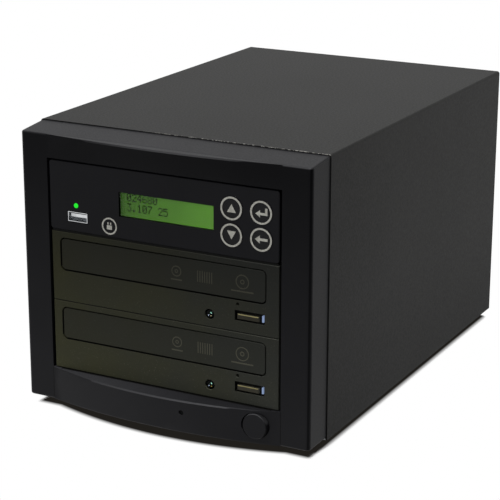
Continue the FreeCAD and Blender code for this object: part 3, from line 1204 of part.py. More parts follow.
def make_clamps():
    """Bridge and puck that hold a disc down, one pair in each drive."""
    parts = []
    for side, floor in DRIVES:
        bridge = piece(f"{side}_clamp_bridge", y="disc_line", z=f"{floor} + bridge_rise")
        add(bridge, "bar", "XY", "0", "bridge_thickness",
            (centred, "0", "0", "casing_width - 2 * casing_wall", "bridge_width"),
            )
        add(bridge, "ring", "XY", "0", "bridge_thickness",
            (circle, "0", "0", "puck_flange + bridge_width / 4"))
        cut(bridge, "hole", "XY", "-overrun", "bridge_thickness + 2 * overrun",
            (circle, "0", "0", "puck_diameter + 2 * puck_gap"))
        puck = piece(f"{side}_clamp_puck", y="disc_line", z=f"{floor} + bridge_rise")
        add(puck, "body", "XY", "-puck_drop", "puck_drop + bridge_thickness + puck_flange_height",
            (circle, "0", "0", "puck_diameter"))
        add(puck, "flange", "XY", "bridge_thickness", "puck_flange_height", (circle, "0", "0", "puck_flange"))
        cut(puck, "cone_socket", "XY", "-puck_drop - overrun", "puck_drop + overrun",
            (circle, "0", "0", "cone_diameter + 2 * puck_gap"))
        parts += [bridge, puck]
    group("disc_clamps", parts)


# Control panel

def make_control_panel():
    """Panel with the display opening, four key holes, indicator hole and port."""
    body = piece("control_panel", y="panel_setback", z="panel_floor")
    add(body, "plate", "XZ", "0", "panel_thickness",
        (rectangle, "panel_x - panel_width / 2", "0", "panel_width", "panel_height"))
    soften(body, "corners", "panel_round", lambda p, d, e: abs(d.y) > 0.9)
    soften(body, "edge", "panel_edge", lambda p, d, e: near(p.y, "0"), "Chamfer")
    through = "panel_thickness + 2 * overrun"
    cut(body, "openings", "XZ", "-overrun", through,
        (rectangle, "display_left", "display_rise", "display_width", "display_height"),
        (circle, "indicator_x", "indicator_rise", "indicator_diameter + 2 * lamp_gap"),
        (centred, "port_x", "port_rise", "port_width + 2 * port_gap", "port_height + 2 * port_gap"),
        *[(circle, x, z, "key_diameter + 2 * key_gap") for label, x, z in KEYS])
    cut(body, "rebate", "XZ", "display_sunk", "panel_thickness",
        (rectangle, "display_left - display_lip - display_fit", "display_rise - display_lip - display_fit",
         "(display_width + 2 * display_lip + 2 * display_fit)",
         "(display_height + 2 * display_lip + 2 * display_fit)"))
    add(body, "arms", "XZ", "panel_thickness", "arm_length",
        *[(centred, f"{sign}(bracket_line - sheet - arm_thickness / 2)",
           "shelf_rise + arm_rise + arm_height / 2",
           "arm_thickness", "arm_height") for sign in ("-", "")])


def make_display():
    """Clear window plate in the panel's rebate, and the display module behind it."""
    plate = piece("display_window", x="display_left - display_lip", y="panel_setback + display_sunk",
                  z="panel_floor + display_rise - display_lip")
    add(plate, "plate", "XZ", "0", "display_plate",
        (rectangle, "0", "0", "(display_width + 2 * display_lip)", "(display_height + 2 * display_lip)"))
    module = piece("display_module", x="display_middle", y="panel_setback + panel_thickness",
                   z="panel_floor + display_centre")
    add(module, "frame", "XZ", "0", "module_frame_depth",
        (centred, "0", "0", "display_width + 2 * module_frame_side",
         "display_height + 2 * module_frame_margin"))
    cut(module, "view", "XZ", "-overrun", "2 * overrun",
        (centred, "0", "0", "display_width + 2 * display_fit", "display_height + 2 * display_fit"))
    add(module, "board", "XZ", "module_frame_depth", "board_thickness",
        (centred, "0", "0", "module_board_width", "module_board_height"))


def make_keys():
    """Four round keys with a dished face inside a thin rim."""
    for label, x, z in KEYS:
        body = piece(label, x=x, y="panel_setback", z=f"panel_floor + {z}")
        add(body, "cap", "XZ", "-key_proud",
            "key_proud + panel_thickness + key_flange_drop + key_flange_wall",
            (circle, "0", "0", "key_diameter"))
        cut(body, "dish", "XZ", "-key_proud - overrun", "overrun + key_dish",
            (circle, "0", "0", "key_diameter - 2 * key_rim"))
        soften(body, "rim", "key_dish / 2", lambda p, d, e: near(p.y, "-key_proud"))
        add(body, "flange", "XZ", "panel_thickness + key_flange_drop", "key_flange_wall",
            (circle, "0", "0", "key_diameter + 2 * key_gap + 2 * key_flange"))


def make_key_board():
    """Small board behind the keys with four tact switches."""
    board = piece("key_board_sheet", y="panel_setback + key_board_line", z="panel_floor")
    add(board, "sheet", "XZ", "0", "board_thickness",
        (centred, "key_board_x", "panel_height / 2", "key_board_width", "key_board_height"))
    tall = "key_board_line - panel_thickness - 2 * key_flange_drop - key_flange_wall - key_travel"
    switches = []
    for number, (label, x, z) in enumerate(KEYS, 1):
        switch = piece(f"tact_switch_{number}", x=x, y=f"panel_setback + key_board_line - ({tall})",
                       z=f"panel_floor + {z}")
        add(switch, "base", "XZ", f"({tall}) / 3", f"({tall}) * 2 / 3",
            (centred, "0", "0", "tact_width", "tact_width"))
        add(switch, "nib", "XZ", "0", tall, (circle, "0", "0", "tact_width / 2"))
        switches.append(switch)
    group("key_board", [board, *switches])


def make_port():
    """Memory port: a thin steel shell round an insulator with a contact tongue."""
    shell = piece("port_shell", x="port_x", y="panel_setback + port_sunk", z="panel_floor + port_rise")
    add(shell, "tube", "XZ", "0", "port_depth",
        (centred, "0", "0", "port_width", "port_height"),
        (centred, "0", "0", "port_width - 2 * port_wall", "port_height - 2 * port_wall"))
    core = piece("port_core", x="port_x", y="panel_setback + port_sunk", z="panel_floor + port_rise")
    add(core, "back", "XZ", "port_depth - port_back", "port_back",
        (centred, "0", "0", "port_width - 2 * port_wall", "port_height - 2 * port_wall"))
    add(core, "tongue", "XZ", "tongue_sunk", "port_depth - port_back - tongue_sunk",
        (centred, "0", "tongue_drop", "tongue_width", "tongue_thickness"))
    group("memory_port", [shell, core])


def make_controller():
    """Shelf in the top bay and the controller board on its studs."""
    shelf = piece("controller_shelf", y="panel_setback + shelf_start", z="panel_floor + shelf_rise")
    half = "bracket_line"
    add(shelf, "floor", "XY", "0", "sheet", (rectangle, f"-{half}", "0", f"2 * {half}", "shelf_length"))
    add(shelf, "flanges", "XY", "0", "shelf_flange",
        *[(centred, f"{sign}({half} - sheet / 2)", "shelf_length / 2", "sheet", "shelf_length")
          for sign in ("-", "")])
    board_floor = "port_floor - board_thickness"
    add(shelf, "studs", "XY", "0", f"{board_floor} - shelf_rise",
        *[(circle, f"{sign}(controller_width / 2 - shelf_stud_inset)", y, "shelf_stud")
          for sign in ("-", "")
          for y in ("controller_line - shelf_start + shelf_stud_inset",
                    "controller_line - shelf_start + controller_length - shelf_stud_inset")])
    board = piece("controller_sheet", y="panel_setback", z=f"panel_floor + {board_floor}")
    edge = "controller_width / 2"
    left = "port_x - controller_tab_width / 2"
    right = "port_x + controller_tab_width / 2"
    back = "controller_line + controller_length"
    front = "panel_thickness + lamp_gap"
    add(board, "sheet", "XY", "0", "board_thickness",
        (outline, (left, front), (right, front), (right, "controller_line"), (edge, "controller_line"),
         (edge, back), (f"-{edge}", back), (f"-{edge}", "controller_line"), (left, "controller_line")))
    top = "panel_floor + port_floor"
    chip = piece("main_chip", y="panel_setback + controller_line + controller_length / 2", z=top)
    add(chip, "block", "XY", "0", "chip_height", (centred, "0", "0", "chip_width", "chip_width"))
    sink = piece("heat_sink", y="panel_setback + controller_line + controller_length / 2",
                 z=f"{top} + chip_height")
    add(sink, "base", "XY", "0", "sink_base", (centred, "0", "0", "sink_width", "sink_width"))
    fin = add(sink, "fin", "XY", "0", "sink_height",
              (rectangle, "-sink_width / 2", "-sink_width / 2", "sink_fin", "sink_width"))
    repeat(sink, "fins", "LinearPattern", [fin], "X",
           {"Length": "sink_width - sink_fin", "Occurrences": "sink_fins"})
    sockets = []
    for number, x in enumerate(DATA_LINES, 1):
        socket = piece(f"data_socket_{number}", x=x,
                       y="panel_setback + controller_line + controller_length - socket_depth", z=top)
        add(socket, "block", "XZ", "0", "socket_depth",
            (rectangle, "-socket_width / 2", "0", "socket_width", "socket_height"))
        sockets.append(socket)
    group("controller_board", [board, chip, sink, *sockets])


# Power supply and fans

def make_psu():
    """Power supply's steel box with openings for its fan, inlet and switch."""
    box = piece("psu_case", x="psu_x", y="psu_front", z="psu_floor")
    half = "psu_width / 2"
    add(box, "box", "XZ", "0", "psu_length", (rectangle, f"-{half}", "0", "psu_width", "psu_height"))
    soften(box, "bends", "casing_bend", lambda p, d, e: abs(d.y) > 0.9)
    # The box is closed at the front by a plate that is part of the same folded shell.
    cut(box, "hollow", "XY", "psu_wall", "psu_height - 2 * psu_wall",
        (rectangle, f"-{half} + psu_wall", "psu_wall", "(psu_width - 2 * psu_wall)",
         "(psu_length - 2 * psu_wall)"))
    cut(box, "rear_openings", "XZ", "psu_length - psu_wall - overrun", "psu_wall + 2 * overrun",
        (circle, "psu_fan_x", "psu_height / 2", "psu_fan_size - 2 * fan_rim"),
        *[(circle, x, z, "fan_screw_hole")
          for x, z in fan_spots("psu_fan_x", "psu_height / 2", "psu_fan_pitch")],
        *[(circle, f"{x} - psu_x", f"{z} - psu_floor", "screw_shaft + 2 * screw_gap")
          for x, z in psu_screw_spots()],
        (centred, "inlet_x", "inlet_rise", "inlet_width + 2 * cutout_gap", "inlet_height + 2 * cutout_gap"),
        (centred, "rocker_x", "rocker_rise", "rocker_width + 2 * cutout_gap",
         "rocker_height + 2 * cutout_gap"))
    vent = cut(box, "front_vent", "XZ", "-overrun", "psu_wall + 2 * overrun",
               (rectangle, "-psu_width / 2 + psu_window_side", "psu_height / 4", "vent_width",
                "psu_height / 2"))
    repeat(box, "front_vents", "LinearPattern", [vent], "X",
           {"Length": "vent_pitch * (vent_count - 1)", "Occurrences": "vent_count"})
    board = piece("psu_board_sheet", x="psu_x", y="psu_front + psu_wall", z="psu_floor + psu_wall")
    long = "(psu_length - 2 * psu_wall - inlet_depth - fan_plate)"
    add(board, "sheet", "XY", "fan_strut", "board_thickness",
        (rectangle, f"-{half} + psu_wall + fan_gap", "0", "(psu_width - 2 * psu_wall - 2 * fan_gap)", long))
    add(board, "studs", "XY", "0", "fan_strut",
        *[(circle, f"{sign}({half} - psu_wall - 2 * fan_strut)", y, "fan_strut")
          for sign in ("-", "") for y in ("2 * fan_strut", f"{long} - 2 * fan_strut")])
    blocks = []
    base = "psu_floor + psu_wall + fan_strut + board_thickness"
    for number, (x, y, w, d, h) in enumerate(PSU_BLOCK_SHARES, 1):
        block = piece(f"psu_block_{number}", x=f"psu_x + {x} * psu_width",
                      y=f"psu_front + {y} * psu_length", z=base)
        add(block, "block", "XY", "0", f"{h} * psu_height",
            (centred, "0", "0", f"{w} * psu_width", f"{d} * psu_length"))
        blocks.append(block)
    group("psu_board", [board, *blocks])


def make_inlet():
    """Mains inlet with its socket and three pins."""
    place_at = {"x": "psu_x + inlet_x", "y": "rear_line", "z": "psu_floor + inlet_rise"}
    body = piece("inlet_housing", **place_at)
    add(body, "body", "XZ", "-inlet_depth", "inlet_depth", (centred, "0", "0", "inlet_width", "inlet_height"))
    add(body, "flange", "XZ", "0", "inlet_flange_wall",
        (centred, "0", "0", "inlet_width + 2 * inlet_flange", "inlet_height + 2 * inlet_flange"))
    w = "inlet_cavity_width / 2"
    h = "inlet_cavity_height / 2"
    cut(body, "socket", "XZ", "inlet_flange_wall - inlet_cavity_depth", "inlet_cavity_depth + overrun",
        (outline, (f"-{w}", f"-{h}"), (w, f"-{h}"), (w, f"{h} - inlet_chamfer"), (f"{w} - inlet_chamfer", h),
         (f"-{w} + inlet_chamfer", h), (f"-{w}", f"{h} - inlet_chamfer")))
    members = []
    spots = (("-inlet_pin_spread", "0"), ("0", "inlet_earth_rise"), ("inlet_pin_spread", "0"))
    for number, (x, z) in enumerate(spots, 1):
        pin = piece(f"inlet_pin_{number}", x=f"psu_x + inlet_x + {x}",
                    y="rear_line + inlet_flange_wall - inlet_cavity_depth", z=f"psu_floor + inlet_rise + {z}")
        add(pin, "blade", "XZ", "0", "inlet_pin_length",
            (centred, "0", "0", "inlet_pin_width", "inlet_pin_height"))
        members.append(pin)
    group("power_inlet", [body, *members])


def make_rocker():
    """Mains switch: a frame with a pivot pin and a rocker on it."""
    spot = {"x": "psu_x + rocker_x", "y": "rear_line", "z": "psu_floor + rocker_rise"}
    frame = piece("rocker_frame", **spot)
    add(frame, "body", "XZ", "-rocker_depth", "rocker_depth",
        (centred, "0", "0", "rocker_width", "rocker_height"))
    add(frame, "flange", "XZ", "0", "inlet_flange_wall",
        (centred, "0", "0", "rocker_width + 2 * inlet_flange", "rocker_height + 2 * inlet_flange"))
    cut(frame, "well", "XZ", "rocker_wall - rocker_depth", "rocker_depth + inlet_flange_wall",
        (centred, "0", "0", "rocker_width - 2 * rocker_wall", "rocker_height - 2 * rocker_wall"))
    add(frame, "pin", "YZ", "-rocker_width / 2 + rocker_wall / 2", "rocker_width - rocker_wall",
        (circle, "-rocker_pin", "0", "rocker_pin"))
    # The rocker turns about its own origin and stands with its upper end pressed in.
    rocker = piece("power_rocker", x=spot["x"], y="rear_line - rocker_pin", z=spot["z"])
    rocker.Placement.Rotation = FreeCAD.Rotation(V(1, 0, 0), worth("rocker_tilt"))
    rocker.setExpression("Placement.Rotation.Angle", bind("rocker_tilt"))
    wide = "rocker_width - 2 * rocker_wall - 2 * rocker_gap"
    high = "rocker_height - 2 * rocker_wall - 2 * rocker_gap"
    lift = "rocker_pin + inlet_flange_wall + rocker_proud"
    add(rocker, "paddle", "YZ", f"-({wide}) / 2", wide,
        (outline, ("-rocker_body", f"-({high}) / 4"), (lift, f"-({high}) / 2"),
         (f"{lift} - rocker_proud / 2", "0"),
         (lift, f"({high}) / 2"), ("-rocker_body", f"({high}) / 4")))
    cut(rocker, "bore", "YZ", f"-({wide}) / 2 - overrun", f"{wide} + 2 * overrun",
        (circle, "0", "0", "rocker_pin + 2 * stem_clearance"))


def make_fan(label, x, y, z):
    """Axial fan: a square frame with a motor plate, and a bladed rotor on its axle."""
    size = f"{label}_size"
    depth = f"{label}_depth"
    hub = f"{size} * fan_hub_share"
    frame = piece(f"{label}_frame", x=x, y=y, z=z)
    add(frame, "frame", "XZ", "0", depth, (centred, "0", "0", size, size))
    cut(frame, "duct", "XZ", "-overrun", f"{depth} + 2 * overrun",
        (circle, "0", "0", f"{size} - 2 * fan_rim"))
    cut(frame, "screw_holes", "XZ", "-overrun", f"{depth} + 2 * overrun",
        *[(circle, a, b, "fan_screw_hole") for a, b in fan_spots("0", "0", f"{label}_pitch")])
    add(frame, "strut_a", "XZ", "0", "fan_plate", (centred, "0", "0", f"{size} - fan_rim", "fan_strut"))
    add(frame, "strut_b", "XZ", "0", "fan_plate", (centred, "0", "0", "fan_strut", f"{size} - fan_rim"))
    add(frame, "plate", "XZ", "0", "fan_plate", (circle, "0", "0", hub))
    add(frame, "axle", "XZ", "0", f"{depth} - fan_gap - fan_hub_wall - fan_gap",
        (circle, "0", "0", "fan_axle"))
    rotor = piece(f"{label}_rotor", x=x, y=y, z=z)
    start = "fan_plate + fan_gap"
    length = f"{depth} - fan_plate - 2 * fan_gap"
    add(rotor, "hub", "XZ", start, length, (circle, "0", "0", hub))
    tip = f"{size} / 2 - fan_rim - fan_tip_gap"
    root = f"{hub} / 2 - fan_blade"
    front = "fan_plate + 2 * fan_gap"
    rear = f"{depth} - 2 * fan_gap"
    lean = f"({rear} - ({front})) * 3 / 4"
    blade = add(rotor, "blade", "YZ", root, f"{tip} - ({root})",
                (outline, (front, f"-({lean}) / 2"), (f"{front} + fan_blade", f"-({lean}) / 2"),
                 (rear, f"({lean}) / 2"), (f"{rear} - fan_blade", f"({lean}) / 2")))
    repeat(rotor, "blades", "PolarPattern", [blade], "Y", {"Occurrences": "fan_blades"})
    cut(rotor, "bore", "XZ", f"{start} - overrun", f"{length} - fan_hub_wall + overrun",
        (circle, "0", "0", "fan_axle + 2 * stem_clearance"))


def wire_guard(label, size, pitch, x, y, z):
    """Round wire guard: three rings on a cross of two wires, with four eyes."""
    parts = []
    reach = f"({pitch} / 2 * sqrt(2) - screw_head / 2)"
    for number, share in enumerate(RING_SHARES, 1):
        ring = doc.addObject("Part::Torus", f"{label}_ring_{number}")
        ring.setExpression("Radius1", bind(f"{share} * {size} / 2"))
        ring.setExpression("Radius2", bind("guard_wire / 2"))
        ring.Placement.Rotation = FreeCAD.Rotation(V(1, 0, 0), 90)
        parts.append(ring)
    for number, angle in enumerate((45, 135), 1):
        wire = doc.addObject("Part::Cylinder", f"{label}_wire_{number}")
        wire.setExpression("Radius", bind("guard_wire / 2"))
        wire.setExpression("Height", bind(f"2 * {reach}"))
        turn = FreeCAD.Rotation(V(0, 1, 0), angle)
        wire.Placement.Rotation = turn
        for axis, part in zip("xz", (turn.multVec(V(0, 0, 1)).x, turn.multVec(V(0, 0, 1)).z)):
            wire.setExpression(f"Placement.Base.{axis}", bind(f"-{part} * {reach}"))
        parts.append(wire)
    for number, (a, b) in enumerate(((-1, -1), (-1, 1), (1, -1), (1, 1)), 1):
        eye = doc.addObject("Part::Torus", f"{label}_eye_{number}")
        eye.setExpression("Radius1", bind("screw_head / 2"))
        eye.setExpression("Radius2", bind("guard_wire / 2"))
        eye.Placement.Rotation = FreeCAD.Rotation(V(1, 0, 0), 90)
        eye.setExpression("Placement.Base.x", bind(f"{a} * {pitch} / 2"))
        eye.setExpression("Placement.Base.z", bind(f"{b} * {pitch} / 2"))
        parts.append(eye)
    guard = doc.addObject("Part::MultiFuse", label)
    guard.Shapes = parts
    place(guard, x, f"{y} + guard_wire / 2", z)
    nodes.append(guard)
    doc.recompute()
    return guard


# Cables inside the case

def cable(label, diameter, points):
    """A round cable along straight runs joined by tangent arcs."""
    spots = [V(worth(x), worth("front_line") + worth(y), worth(z)) for x, y, z in points]
    edges_list = []
    here = spots[0]
    for before, corner, after in zip(spots, spots[1:], spots[2:]):
        arrive = (corner - before).normalize()
        leave = (after - corner).normalize()
        turn = arrive.getAngle(leave)
        shorter = min((corner - before).Length, (after - corner).Length)
        reach = ARC_SHARE * shorter
        radius = reach / math.tan(turn / 2)
        start = corner - arrive * reach
        end = corner + leave * reach
        bulge = (leave - arrive).normalize()
        middle = corner + bulge * (radius / math.cos(turn / 2) - radius)
        edges_list.append(Part.LineSegment(here, start).toShape())
        edges_list.append(Part.Arc(start, middle, end).toShape())
        here = end
        print(f"{label}: turn {math.degrees(turn):.0f} degrees, radius {radius:.1f}")
    edges_list.append(Part.LineSegment(here, spots[-1]).toShape())
    path = Part.Wire(edges_list)
    heading = (spots[1] - spots[0]).normalize()
    rim = Part.Wire([Part.Circle(spots[0], heading, worth(diameter) / 2).toShape()])
    tube = path.makePipeShell([rim], True, False)
    thing = doc.addObject("Part::Feature", label)
    thing.Shape = tube
    nodes.append(thing)
    return thing


def make_cables():
    """Data and supply cables from the controller and the power supply to each drive."""
    runs = []
    for number, (side, floor) in enumerate(DRIVES, 1):
        height = f"{floor} + drive_board_rise + plug_height / 2"
        fall = "drive_back + cable_drop_line"
        back = "drive_back + cable_back"
        data_x = DATA_LINES[number - 1]
        out = "panel_setback + controller_line + controller_length"
        top = "panel_floor + port_floor + socket_height / 2"
        low = "psu_floor - cable_low"
        ends = [(data_x, back, f"{height} + {number} * cable_rise"), (data_x, back, height),
                (data_x, "drive_back", height)]
        runs.append(cable(f"{side}_data_cable", "data_cable",
                          [(data_x, out, top), (data_x, fall, top), (data_x, fall, low), *ends]))
        supply_x = SUPPLY_LINES[number - 1]
        ends = [(supply_x, back, f"{height} + {number} * cable_rise"), (supply_x, back, height),
                (supply_x, "drive_back", height)]
        high = "psu_floor + supply_rise"
        fore = "psu_front - supply_loop"
        bend = "psu_floor + cable_high"
        runs.append(cable(f"{side}_supply_cable", "supply_cable",
                          [(supply_x, "psu_front", high), (supply_x, fore, high), (supply_x, fore, bend),
                           (supply_x, fall, f"{bend} - cable_low / 2"), (supply_x, fall, low), *ends]))
    group("inner_cables", runs)


DRIVES = (("upper", "upper_floor"), ("lower", "lower_floor"))
KEYS = (
    ("up_key", "key_left", "key_high"), ("down_key", "key_left", "key_low"),
    ("enter_key", "key_right", "key_high"), ("back_key", "key_right", "key_low"),
)
DATA_LINES = ("-plug_width / 3", "-plug_width / 3 + socket_width + 2 * data_cable")
SUPPLY_LINES = ("plug_width / 6", "plug_width / 6 + 3 * supply_cable")
RING_SHARES = ("0.94", "0.66", "0.38")
ARC_SHARE = 0.45
# Centre x and y, width, depth and height of the supply's big parts, as shares of the supply.
PSU_BLOCK_SHARES = (
    ("-0.26", "0.34", "0.24", "0.30", "0.50"), ("0.10", "0.22", "0.20", "0.24", "0.56"),
    ("0.10", "0.52", "0.26", "0.20", "0.40"), ("0.36", "0.36", "0.06", "0.44", "0.60"),
)

make_bezel()
make_front_plate()
make_base_pan()
make_feet()
make_rear_panel()
make_cover()
make_brackets()
make_side_screws()
group("case_screws", make_thumb_screws() + make_rear_screws() + make_foot_screws())
make_power_button()
make_power_switch()
make_status_lamps()
for side, floor in DRIVES:
    make_faceplate(side, floor)
    make_casing(side, floor)
    make_tray(side, floor)
    make_tray_door(side, floor)
    make_eject_button(side, floor)
    make_drive_lenses(side, floor)
    make_deck(side, floor)
    make_pinion(side, floor)
    make_turntable(side, floor)
    make_sled(side, floor)
    make_lead_screw(side, floor)
    make_drive_board(side, floor)
make_clamps()
make_control_panel()
make_display()
make_keys()
make_key_board()
make_port()
make_controller()
make_psu()
make_inlet()
make_rocker()
make_fan("psu_fan", "psu_x + psu_fan_x", "rear_line - psu_wall - psu_fan_depth", "psu_floor + psu_height / 2")
make_fan("case_fan", "case_fan_x", "rear_line - case_fan_depth", "case_fan_height")
group("fan_guards", [
    wire_guard("psu_guard", "psu_fan_size", "psu_fan_pitch",
               "psu_x + psu_fan_x", "rear_line", "psu_floor + psu_height / 2"),
    wire_guard("case_guard", "case_fan_size", "case_fan_pitch", "case_fan_x", "rear_line + sheet",
               "case_fan_height"),
])
make_cables()
doc.recompute()

# Checks, then one file for each node

for thing in doc.Objects:
    if any(word in ("Invalid", "Error") for word in thing.State):
        raise RuntimeError(f"{thing.Name} failed: {thing.State}")
    if thing.TypeId in ("PartDesign::Pocket", "PartDesign::Pad") and thing.BaseFeature:
        gain = thing.Shape.Volume - thing.BaseFeature.Shape.Volume
        if (gain >= 0) if thing.TypeId.endswith("Pocket") else (gain <= 0):
            raise RuntimeError(f"{thing.Name} changes nothing: {gain}")
os.makedirs("parts", exist_ok=True)
for thing in nodes:
    shape = thing.Shape
    if shape.isNull() or not shape.isValid() or not shape.Solids:
        raise RuntimeError(f"{thing.Label} has no valid solid")
    shape.exportStep(f"parts/{thing.Label}.step")
    print(f"{thing.Label}: {len(shape.Solids)} solid(s), {shape.Volume / 1000:.1f} cm3")
print(f"{len(nodes)} nodes")
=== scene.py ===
import math
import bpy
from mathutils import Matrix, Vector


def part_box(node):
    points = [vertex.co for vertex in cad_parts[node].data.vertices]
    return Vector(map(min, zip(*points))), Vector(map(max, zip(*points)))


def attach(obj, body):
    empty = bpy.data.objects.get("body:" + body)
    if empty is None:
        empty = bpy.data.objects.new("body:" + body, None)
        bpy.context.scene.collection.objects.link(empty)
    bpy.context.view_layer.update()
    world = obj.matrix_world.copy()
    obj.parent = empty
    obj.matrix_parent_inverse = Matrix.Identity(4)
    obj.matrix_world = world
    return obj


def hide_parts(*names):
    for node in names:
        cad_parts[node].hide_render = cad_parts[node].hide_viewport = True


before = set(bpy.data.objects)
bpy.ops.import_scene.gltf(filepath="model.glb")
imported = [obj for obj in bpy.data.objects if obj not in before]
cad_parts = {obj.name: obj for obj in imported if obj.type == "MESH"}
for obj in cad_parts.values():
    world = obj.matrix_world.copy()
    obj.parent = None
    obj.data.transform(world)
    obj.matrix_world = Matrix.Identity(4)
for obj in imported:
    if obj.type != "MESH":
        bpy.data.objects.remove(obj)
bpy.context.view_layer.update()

from types import SimpleNamespace

import bpy
from mathutils import Matrix, Vector

# The looks of a desktop disc duplicator: a powder-coated steel case with a moulded
# front, a control panel with a lit display and four keys, and two disc drives.
# Lengths are in metres; MM turns a size in millimetres into metres.

MM = 0.001
SIDES = ("upper", "lower")
FACING_FRONT = (math.pi / 2, 0, 0)

# Half the chin's width and the height of its ledge
CHIN_HALF = 75.65 * MM
CHIN_LEDGE = 20.5 * MM

# The thickness of a lining, how far in it starts, and the thickness of a door's marks
SKIN = 0.08 * MM
LINING_START = 0.2 * MM
MARK_FILM = 0.15 * MM


# The camera, from the corners of the case in the photograph

LENS = 125.7
SENSOR = 36.0
AZIMUTH = math.radians(27.84)
ELEVATION = math.radians(17.11)
ROLL = math.radians(0.12)
DISTANCE = 952.7 * MM
AIM = Vector((56.3, -138.0, 118.7)) * MM


def make_camera():
    """Stand the camera where the photograph was taken from."""
    back = Vector((math.sin(AZIMUTH) * math.cos(ELEVATION), -math.cos(AZIMUTH) * math.cos(ELEVATION),
                   math.sin(ELEVATION)))
    level = Vector((math.cos(AZIMUTH), math.sin(AZIMUTH), 0))
    over = back.cross(level)
    right = level * math.cos(ROLL) + over * math.sin(ROLL)
    up = over * math.cos(ROLL) - level * math.sin(ROLL)
    made = bpy.data.objects.new("camera", bpy.data.cameras.new("camera"))
    bpy.context.collection.objects.link(made)
    made.data.lens = LENS
    made.data.sensor_width = SENSOR
    turned = Matrix((right, up, back)).transposed().to_4x4()
    made.matrix_world = Matrix.Translation(AIM + back * DISTANCE) @ turned
    bpy.context.scene.camera = made


# Selecting and shaping

def only(*things):
    """Select these pieces alone, the first one active."""
    bpy.ops.object.select_all(action="DESELECT")
    for thing in things:
        thing.select_set(True)
    bpy.context.view_layer.objects.active = things[0]


def settled(name):
    """Name the piece just added and put its place into its mesh."""
    thing = bpy.context.object
    thing.name = name
    thing.data.name = name
    only(thing)
    bpy.ops.object.transform_apply(location=True, rotation=True, scale=True)
    return thing


def block(name, low, high):
    """A box between two corners."""
    middle = [(a + b) / 2 for a, b in zip(low, high)]
    bpy.ops.mesh.primitive_cube_add(size=1, location=middle, scale=[b - a for a, b in zip(low, high)])
    return settled(name)


def open_edit(thing, kind):
    """Open a piece for editing with all its faces or all its points selected."""
    only(thing)
    bpy.ops.object.mode_set(mode="EDIT")
    bpy.ops.mesh.select_mode(type=kind)
    bpy.ops.mesh.select_all(action="SELECT")


def close_edit():
    """Leave editing."""
    bpy.ops.object.mode_set(mode="OBJECT")


def changed(thing, kind, **settings):
    """Add a modifier to a piece and apply it."""
    only(thing)
    made = thing.modifiers.new(kind.lower(), kind)
    for key, value in settings.items():
        setattr(made, key, value)
    bpy.ops.object.modifier_apply(modifier=made.name)
    return thing


def rounded(thing, width):
    """Round a piece's sharp edges."""
    return changed(thing, "BEVEL", width=width, segments=2, limit_method="ANGLE",
                   angle_limit=math.radians(40))


def copied(thing, name):
    """A copy of a piece with its own mesh."""
    made = bpy.data.objects.new(name, thing.data.copy())
    made.data.name = name
    bpy.context.collection.objects.link(made)
    return made


def joined(name, things):
    """Make one piece of several."""
    only(*things)
    bpy.ops.object.join()
    made = bpy.context.object
    made.name = name
    made.data.name = name
    return made


def smooth_copy(name, angle=35, edge=0):
    """A solid's own shape as one welded skin, its edges rounded, shown in the solid's place."""
    made = copied(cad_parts[name], f"{name}_skin")
    only(made)
    bpy.ops.mesh.customdata_custom_splitnormals_clear()
    open_edit(made, "VERT")
    bpy.ops.mesh.remove_doubles(threshold=0.001 * MM)
    bpy.ops.mesh.select_all(action="SELECT")
    bpy.ops.mesh.dissolve_limited(angle_limit=math.radians(0.2))
    close_edit()
    if edge:
        rounded(made, edge)
    only(made)
    bpy.ops.object.shade_smooth_by_angle(angle=math.radians(angle))
    changed(made, "WEIGHTED_NORMAL", keep_sharp=True)
    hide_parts(name)
    return made


def shared_out(thing, test):
    """Give a piece's second finish to the faces whose middles pass a test."""
    for face in thing.data.polygons:
        face.material_index = int(test(face.center))


def carried(thing, body, slot, *finishes):
    """Give a piece its finishes and let it ride on a body."""
    thing.data.materials.clear()
    for finish in finishes:
        thing.data.materials.append(finish)
    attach(thing, body)
    return thing


def flat_shape(name, points, front, thickness):
    """A thin plate facing the front, outlined by points given as x and z."""
    bpy.ops.mesh.primitive_circle_add(vertices=len(points), radius=1, fill_type="NGON")
    made = settled(name)
    for point, (x, z) in zip(made.data.vertices, points):
        point.co = (x, front + thickness, z)
    open_edit(made, "FACE")
    bpy.ops.mesh.extrude_region_move(TRANSFORM_OT_translate={"value": (0, -thickness, 0)})
    bpy.ops.mesh.select_all(action="SELECT")
    bpy.ops.mesh.normals_make_consistent(inside=False)
    close_edit()
    return made


def flat_ring(name, x, z, front, outer, inner, thickness, sides=64):
    """A thin ring facing the front."""
    bpy.ops.mesh.primitive_circle_add(vertices=sides, radius=outer, fill_type="NGON",
                                      location=(x, front + thickness, z), rotation=FACING_FRONT)
    made = settled(name)
    open_edit(made, "FACE")
    bpy.ops.mesh.inset(thickness=outer - inner)
    bpy.ops.mesh.delete(type="FACE")
    bpy.ops.mesh.select_all(action="SELECT")
    bpy.ops.mesh.extrude_region_move(TRANSFORM_OT_translate={"value": (0, -thickness, 0)})
    bpy.ops.mesh.select_all(action="SELECT")
    bpy.ops.mesh.normals_make_consistent(inside=False)
    close_edit()
    return made


# Finishes

def srgb(code):
    """Linear colour of an sRGB hex value."""
    parts = [int(code[n:n + 2], 16) / 255 for n in (1, 3, 5)]
    return [p / 12.92 if p <= 0.04045 else ((p + 0.055) / 1.055) ** 2.4 for p in parts] + [1.0]


def node(tree, kind, sockets=None, **settings):
    """Add a shader node with its settings, its values and its links."""
    made = tree.nodes.new(f"ShaderNode{kind}")
    for key, value in settings.items():
        setattr(made, key, value)
    for key, value in (sockets or {}).items():
        if isinstance(value, bpy.types.NodeSocket):
            tree.links.new(value, made.inputs[key])
        else:
            made.inputs[key].default_value = value
    return made


